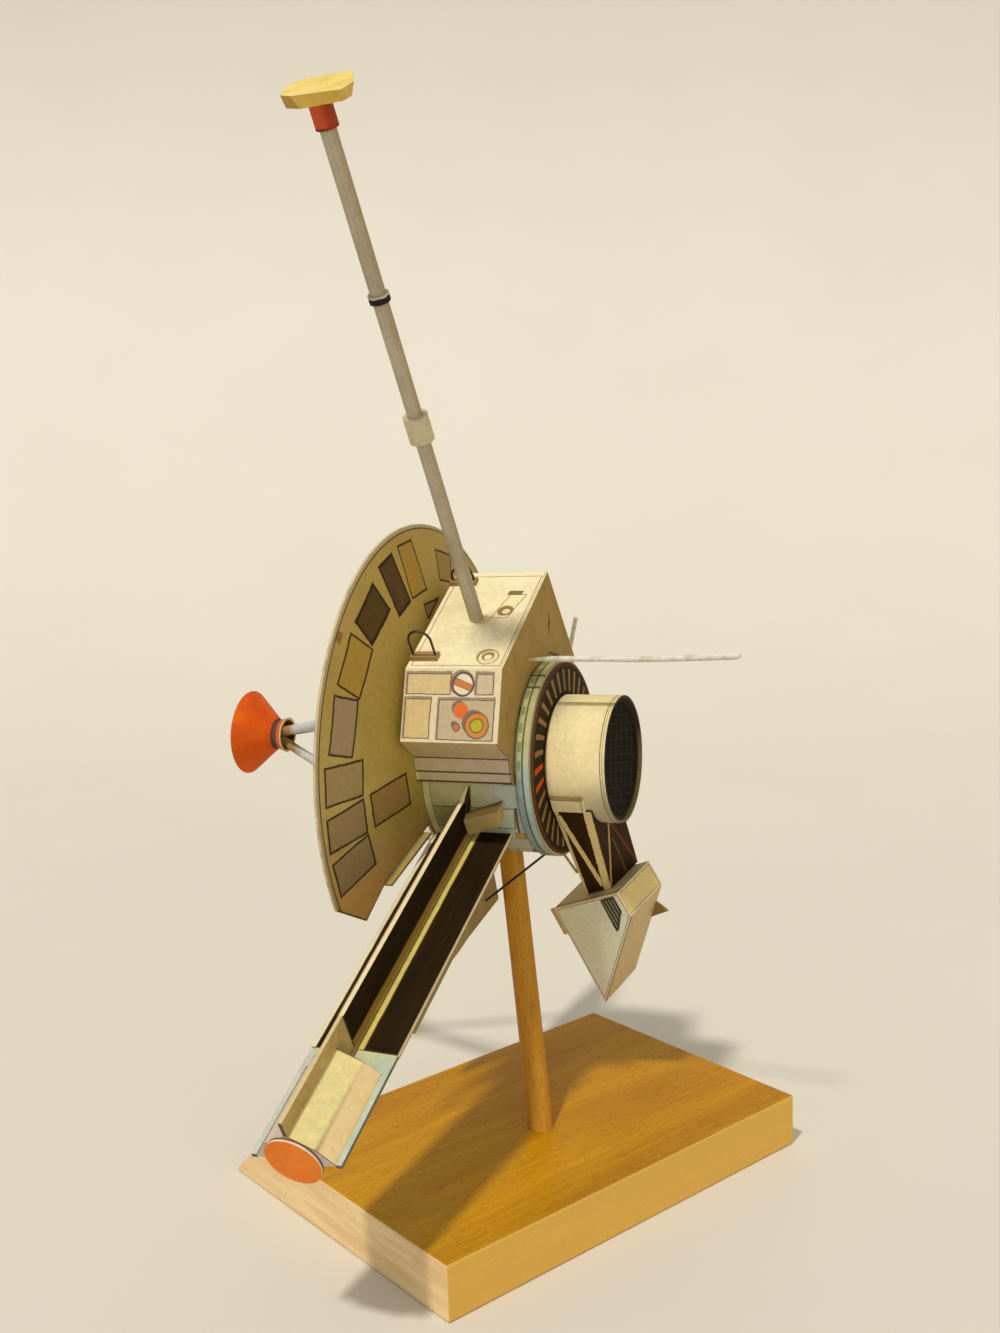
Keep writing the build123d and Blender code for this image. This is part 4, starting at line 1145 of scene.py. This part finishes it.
def truss_card():
    """The truss: struts and braces printed pale on a dark-brown ground."""
    card = Card("card_truss", rgb(46, 30, 12), rgb(60, 40, 18), drift=0.1, specular=0.08)
    strut = rgb(228, 210, 152)
    #  direction of the face and its threshold, drawing axis, outline, strokes: ends, width, colour
    faces = (
        ((0, -1, 0, 0.7), X_AXIS, BROWN, (
            ((6.7, -3.0), (5.8, -53.0), 2.2, strut),
            ((7.2, -6.0), (13.5, -44.0), 2.0, strut),
            ((17.6, -3.0), (14.9, -46.0), 2.9, strut),
        )),
        ((0, 1, 0, 0.7), X_AXIS, BROWN, (
            ((11.0, -3.0), (11.4, -56.0), 2.2, strut),
            ((12.0, -54.0), (21.0, -6.0), 2.2, strut),
            ((21.8, -3.0), (20.4, -50.0), 2.6, strut),
        )),
        ((1, 0, 0, 0.5), Y_AXIS, None, (
            ((-12.9, -15.0), (-16.4, -44.0), 1.0, rgb(176, 146, 86)),
            ((-12.6, -16.0), (-0.2, -48.0), 1.0, rgb(104, 52, 24)),
            ((-12.2, -24.0), (-7.0, -46.0), 0.7, rgb(104, 72, 36)),
        )),
        ((-1, 0, 0, 0.5), Y_AXIS, BROWN, (
            ((-20.4, -3.0), (-14.2, -51.0), 1.8, strut),
            ((-7.4, -3.0), (0.2, -54.0), 1.8, strut),
            ((-19.0, -6.0), (-1.0, -52.0), 1.6, strut),
        )),
    )
    for toward, across, line, strokes in faces:
        card.area = card.looks(*toward)
        card.draw_on(across, Z_AXIS)
        for start, end, width, fill in strokes:
            card.shape(card.stroke(start, end, width), fill, line, 0.25)
    return card.finish(core=rgb(190, 168, 118), wear=0.7)


HATCH_PITCH = 1.5


def pod_card():
    """The pod: pale blue-grey front with a hatched grille, warm cream sides."""
    card = Card("card_pod", rgb(244, 250, 218), rgb(230, 242, 226), POD, drift=0.06)
    front = card.looks(0, -1, 0, 0.9)
    top = card.looks(0, 0, 1, 0.9)
    right = card.looks(1, 0, 0, 0.9)
    lower = card.looks(0.65, 0, -0.75, 0.9)
    card.area = front
    card.paint(card.ramp(card.z, -12, -34), rgb(238, 242, 238), 0.55)
    card.area = top
    card.paint(1.0, rgb(226, 210, 160), 0.85)
    card.area = right
    card.paint(1.0, rgb(228, 198, 122), 0.9)
    card.area = lower
    card.paint(1.0, rgb(204, 182, 122), 0.9)
    card.paint(card.cloud(0.16, 0.5, 0.62), rgb(206, 174, 140), 0.5)
    card.band(card.y, -0.2, 0.9, rgb(96, 74, 38), 0.85)
    card.band(card.y, 0.9, 1.15, rgb(206, 186, 132), 0.7)
    for area, u, v, outline in (
        (front, X_AXIS, Z_AXIS, [(-POD_TOP_LENGTH, 0), (0, 0), (0, -POD_SHOULDER), POD_TIP]),
        (top, X_AXIS, Y_AXIS, rectangle(-POD_TOP_LENGTH, 0, 0, POD_THICKNESS)),
        (right, Y_AXIS, Z_AXIS, rectangle(0, 0, POD_THICKNESS, -POD_SHOULDER)),
    ):
        card.area = area
        card.draw_on(u, v)
        inset = card.plus(card.polygon(outline), 0.75)
        card.paint(card.inked(card.beyond(inset, 0.16)), rgb(88, 70, 50), 0.75)
        card.paint(card.inked(card.times(card.plus(inset, -0.1), -1.0)), rgb(232, 216, 168), 0.8)
    # dark line along the top face's front edge: painted shadow in the gap under the front panel's
    # overhanging edge
    card.area = top
    card.band(card.y, 1.3, 1.75, rgb(74, 58, 38), 0.85)
    card.area = front
    card.draw_on(X_AXIS, Z_AXIS)
    grille = card.polygon([(-9.0, -1.4), (-3.0, -1.2), (-3.1, -6.7), (-8.7, -12.8), (-9.6, -13.1)])
    hatch = card.math("FRACT", card.math("DIVIDE", card.plus(card.x, 100.0), HATCH_PITCH))
    hatch = card.times(card.magnitude(card.minus(hatch, 0.5)), HATCH_PITCH)
    hatch = card.minus(hatch, HATCH_PITCH * 0.28)
    card.shape(grille, rgb(146, 142, 116), rgb(54, 48, 34), 0.8, strength=0.95)
    card.shape(card.larger(grille, hatch), rgb(34, 30, 22), strength=0.95)
    return card.finish()


def flange_card():
    """A small tan flap with a dark outline."""
    card = Card("card_flange", rgb(172, 148, 86), rgb(184, 158, 96), drift=0.1)
    return card.finish(core=rgb(120, 88, 48), wear=0.9, rounding=0.35)


def tab_card():
    """The adapter's tab: cream-grey with a brown upper edge."""
    card = Card("card_tab", rgb(226, 210, 160), rgb(232, 218, 172), drift=0.12)
    card.band(card.z, TAB_TOP_Z - 0.45, TAB_TOP_Z + 0.2, BROWN, 0.85)
    card.band(card.x, TAB_RIGHT_X - 0.9, TAB_RIGHT_X - 0.55, BROWN, 0.6)
    return card.finish()


def bracket_card():
    """The root bracket: grey-tan strip, its upper fold darkened with painted shade, with paler cut
    edges.
    """
    card = Card("card_bracket", rgb(178, 154, 96), rgb(188, 166, 108), drift=0.12)
    # the sloping top face in the fold painted dark brown as painted shade
    card.cover(-0.33, 0, 0.94, 0.8, rgb(104, 80, 38), 0.9)
    return card.finish(core=rgb(214, 190, 132), wear=0.8, rounding=0.5)


def gusset_card():
    """The gusset under the boom: plain tan card, brown at its cut edges."""
    card = Card("card_gusset", rgb(160, 136, 82), rgb(176, 152, 96), BOOM, drift=0.06)
    return card.finish(core=rgb(96, 66, 36), wear=0.55, rounding=0.5)


def sensor_card():
    """The sensor block: bright yellow top, darker sides, brown-ochre ends."""
    card = Card("card_sensor", rgb(244, 214, 116), rgb(248, 222, 136), drift=0.12)
    card.area = card.minus(1.0, card.looks(0, 0, 1, 0.8))
    card.paint(1.0, rgb(220, 184, 88), 0.95)
    card.paint(card.cloud(0.3, 0.5, 0.7), rgb(198, 158, 62), 0.6)
    for across, depth, colour in ((1, 0, rgb(190, 132, 34)), (-0.5, -0.85, rgb(186, 142, 66))):
        card.cover(across, depth, 0, 0.85, colour, 0.9)
    return card.finish(core=rgb(240, 214, 142), wear=0.5)


def cap_card():
    """The mast's cap: red card sleeve with a dark lower line, darker red on its right side as painted
    shade.
    """
    card = Card("card_cap", rgb(200, 78, 40), rgb(208, 92, 52), drift=0.1)
    card.band(card.z, MAST_CAP_Z - 0.1, MAST_CAP_Z + 0.7, rgb(96, 44, 22), 0.85)
    # darker red on the right side: painted shade
    card.paint(card.ramp(card.x, -17.0, -15.2), rgb(150, 52, 18), 0.7)
    return card.finish(wear=0.35)


WHIP_PAINT = (rgb(226, 222, 206), rgb(190, 184, 160))


def rod_paint(name):
    """Painted rod: off-white brushed coat with grubby patches."""
    shader = Shader(name, roughness=0.45, specular=0.4)
    spot = shader.local(PROBE)
    patches = shader.noise(spot, 0.35, detail=4)
    tone = shader.mix(shader.ramp(patches, 0.45, 0.72), *WHIP_PAINT)
    shader.colour(tone)
    brushed = shader.noise(spot, 2.4, detail=4)
    shader.bump(brushed, 0.05, shader.soft_edges(0.25))
    shader.roughen(patches, 0.36, 0.55)
    return shader.material


def wire_paint():
    """Black enamelled wire, rubbed to dark brown in places."""
    shader = Shader("wire_black", roughness=0.4, specular=0.5)
    spot = shader.local(PROBE)
    rubbed = shader.noise(spot, 0.7, detail=4)
    shader.colour(shader.mix(shader.ramp(rubbed, 0.5, 0.75), rgb(26, 22, 20), rgb(74, 56, 42)))
    shader.bump(shader.noise(spot, 5.0), 0.03)
    shader.roughen(rubbed, 0.32, 0.5)
    return shader.material


# ---------------------------------------------------------------- dressing of the CAD pieces
def dress(material, *nodes):
    """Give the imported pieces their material."""
    for node in nodes:
        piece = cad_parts[node]
        piece.data.materials.clear()
        piece.data.materials.append(material)


#                     ground, second ground, cloud
GENERATOR_FIN_INK = {
    "right": (rgb(188, 202, 182), rgb(196, 208, 190), rgb(178, 198, 190)),
    # the up fin's tan: its print darkened with painted shade, on the side turned from the light
    "up": (rgb(190, 160, 92), rgb(206, 178, 112), rgb(176, 144, 74)),
    "left": (rgb(196, 206, 196), rgb(206, 210, 196), rgb(206, 196, 188)),
    "down": (rgb(130, 112, 88), rgb(110, 92, 72), rgb(76, 60, 50)),
}


def dress_all():
    """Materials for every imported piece."""
    dress(block_wood(), "base_block")
    dress(dowel_wood(), "stand_dowel")
    dress(dish_card(), "dish_shell")
    dress(box_card(), "equipment_box")
    dress(drum_card(), "drum_shell")
    dress(ring_card("card_ring_inner", True), "rim_ring_inner")
    dress(ring_card("card_ring_outer", False), "rim_ring_outer")
    dress(louver_card(), "louver_disc")
    dress(adapter_card(), "adapter_cylinder")
    dress(grid_card(), "grid_disc")
    dress(horn_card(), "horn_cone")
    dress(band_card(), "horn_band")
    dress(neck_card(), "horn_neck")
    dress(mast_paper(), "mast_tube")
    dress(plain_card("card_collar", rgb(208, 194, 156), rgb(216, 204, 168)), "mast_collar")
    dress(wire_paint(), "wire_loop_near", "wire_loop_far", "wire_stay")
    dress(mast_ring_card(), "mast_black_ring")
    dress(cap_card(), "mast_cap")
    dress(sensor_card(), "sensor_block")
    dress(leg_paint(), "horn_leg_1", "horn_leg_2", "horn_leg_3")
    dress(rod_paint("paint_whip"), "long_whip", "short_whip")
    pads = plain_card(
        "card_pads", rgb(168, 132, 82), rgb(182, 148, 98), core=rgb(92, 56, 36), wear=1.0, rounding=0.5
    )
    dress(pads, "loop_pad_near", "loop_pad_far")
    for name in FINS:
        dress(boom_fin_card(name), f"boom_fin_{name}")
        dress(generator_fin_card(name, *GENERATOR_FIN_INK[name]), f"generator_fin_{name}")
    dress(spine_card(), "boom_spine")
    dress(generator_card(), "generator_body")
    dress(end_disc_card(), "generator_end_disc")
    dress(gusset_card(), "boom_gusset")
    dress(bracket_card(), "root_bracket")
    dress(flange_card(), "dish_edge_flange")
    dress(tab_card(), "adapter_tab")
    dress(truss_card(), "truss")
    dress(plain_card("card_rod", rgb(176, 150, 96), rgb(150, 120, 70)), "truss_rod")
    dress(pod_card(), "pod_body")
    dress(plain_card("card_pod_tab", rgb(214, 196, 142), rgb(196, 176, 122)), "pod_side_tab")
    dress(plain_card("card_pod_fin", rgb(164, 140, 80), rgb(148, 124, 66)), "pod_fin")


# ---------------------------------------------------------------- shapes finer than in the CAD
def blend(before, start, end, after, share):
    """A point on the smooth curve from start to end, led by the rows on both sides."""
    point = []
    for p, q, r, s in zip(before, start, end, after):
        square = (2 * p - 5 * q + 4 * r - s) * share**2
        cube = (3 * q - p - 3 * r + s) * share**3
        point.append(0.5 * (2 * q + (r - p) * share + square + cube))
    return tuple(point)


def smooth_rows(rows, steps):
    """More rows, laid on a smooth curve through the given ones."""
    padded = [rows[0]] + list(rows) + [rows[-1]]
    finer = []
    for number in range(len(rows) - 1):
        for step in range(steps):
            finer.append(blend(*padded[number:number + 4], step / steps))
    return finer + [rows[-1]]


def new_piece(name, shape, material):
    """Make a mesh object and let it ride with the model."""
    piece = add_mesh(name, shape, material)
    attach(piece, BODY)
    return piece


WHIP_SIDES = 24
WHIP_Y = 3.7
WHIP_Z = 38.8
#   along the whip, lift from the straight line, radius
WHIP_ROWS = (
    (0.05, -0.3, 0.25),
    (9.0, 0.05, 0.9),
    (24.0, 0.12, 0.93),
    (38.0, 0.1, 0.96),
    (50.0, 0.45, 1.0),
    (60.0, 0.95, 1.06),
    (67.0, 1.38, 1.12),
    (68.8, 1.49, 0.98),
    (69.6, 1.54, 0.55),
)


def long_whip():
    """The long whip: a rolled rod, pointed at its root, a little bowed, thicker to its blunt tip."""
    shape = bmesh.new()
    rings = []
    for along, lift, radius in smooth_rows(WHIP_ROWS, 5):
        ring = []
        for side in range(WHIP_SIDES):
            turn = math.tau * side / WHIP_SIDES
            depth = WHIP_Y + radius * math.cos(turn)
            height = WHIP_Z + lift + radius * math.sin(turn)
            ring.append(shape.verts.new(PROBE @ Vector((BOX_RIGHT_X + along, depth, height)) * MM))
        rings.append(ring)
    for lower, upper in zip(rings, rings[1:]):
        for side in range(WHIP_SIDES):
            after = (side + 1) % WHIP_SIDES
            shape.faces.new((lower[side], lower[after], upper[after], upper[side])).smooth = True
    shape.faces.new(rings[0])
    shape.faces.new(rings[-1])
    bmesh.ops.recalc_face_normals(shape, faces=shape.faces)
    piece = new_piece("long_whip_bowed", shape, rod_paint("paint_whip_long"))
    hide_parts("long_whip")


#   corners in the boom's frame, on the drum
ROOT_TAB = (
    (-0.9, 13.8, 31.9),
    (0.9, 13.8, 31.9),
    (2.5, 19.3, 31.1),
    (3.6, 19.0, 31.2),
    (3.1, 13.2, 32.2),
    (2.4, 10.5, 33.0),
    (1.0, 9.0, 34.2),
)
ROOT_TAB_DEPTH = 0.7


def root_tab_card():
    """The root tab: near-black with a cream left edge that carries on the fin's."""
    card = Card("card_root_tab", BOOM_DARK, rgb(46, 32, 14), BOOM, drift=0.03, specular=0.06)
    card.draw_on(X_AXIS, Y_AXIS)
    edge = [(-2.0, 13.0), (0.9, 13.0), (3.3, 19.6), (1.2, 19.6)]
    card.plate(edge, rgb(234, 218, 176), BROWN, 0.2)
    return card.finish(wear=0.3)


def root_tab():
    """The up fin's pointed root tab, glued to the drum beside the fin's end."""
    shape = bmesh.new()
    for depth in (0.0, ROOT_TAB_DEPTH):
        for corner in ROOT_TAB:
            shape.verts.new(BOOM @ Vector((corner[0], corner[1], corner[2] - depth)) * MM)
    bmesh.ops.convex_hull(shape, input=shape.verts)
    new_piece("boom_fin_root_tab", shape, root_tab_card())


bpy.context.scene.view_settings.view_transform = "Standard"
make_camera()
make_floor()
make_light()
dress_all()
long_whip()
root_tab()
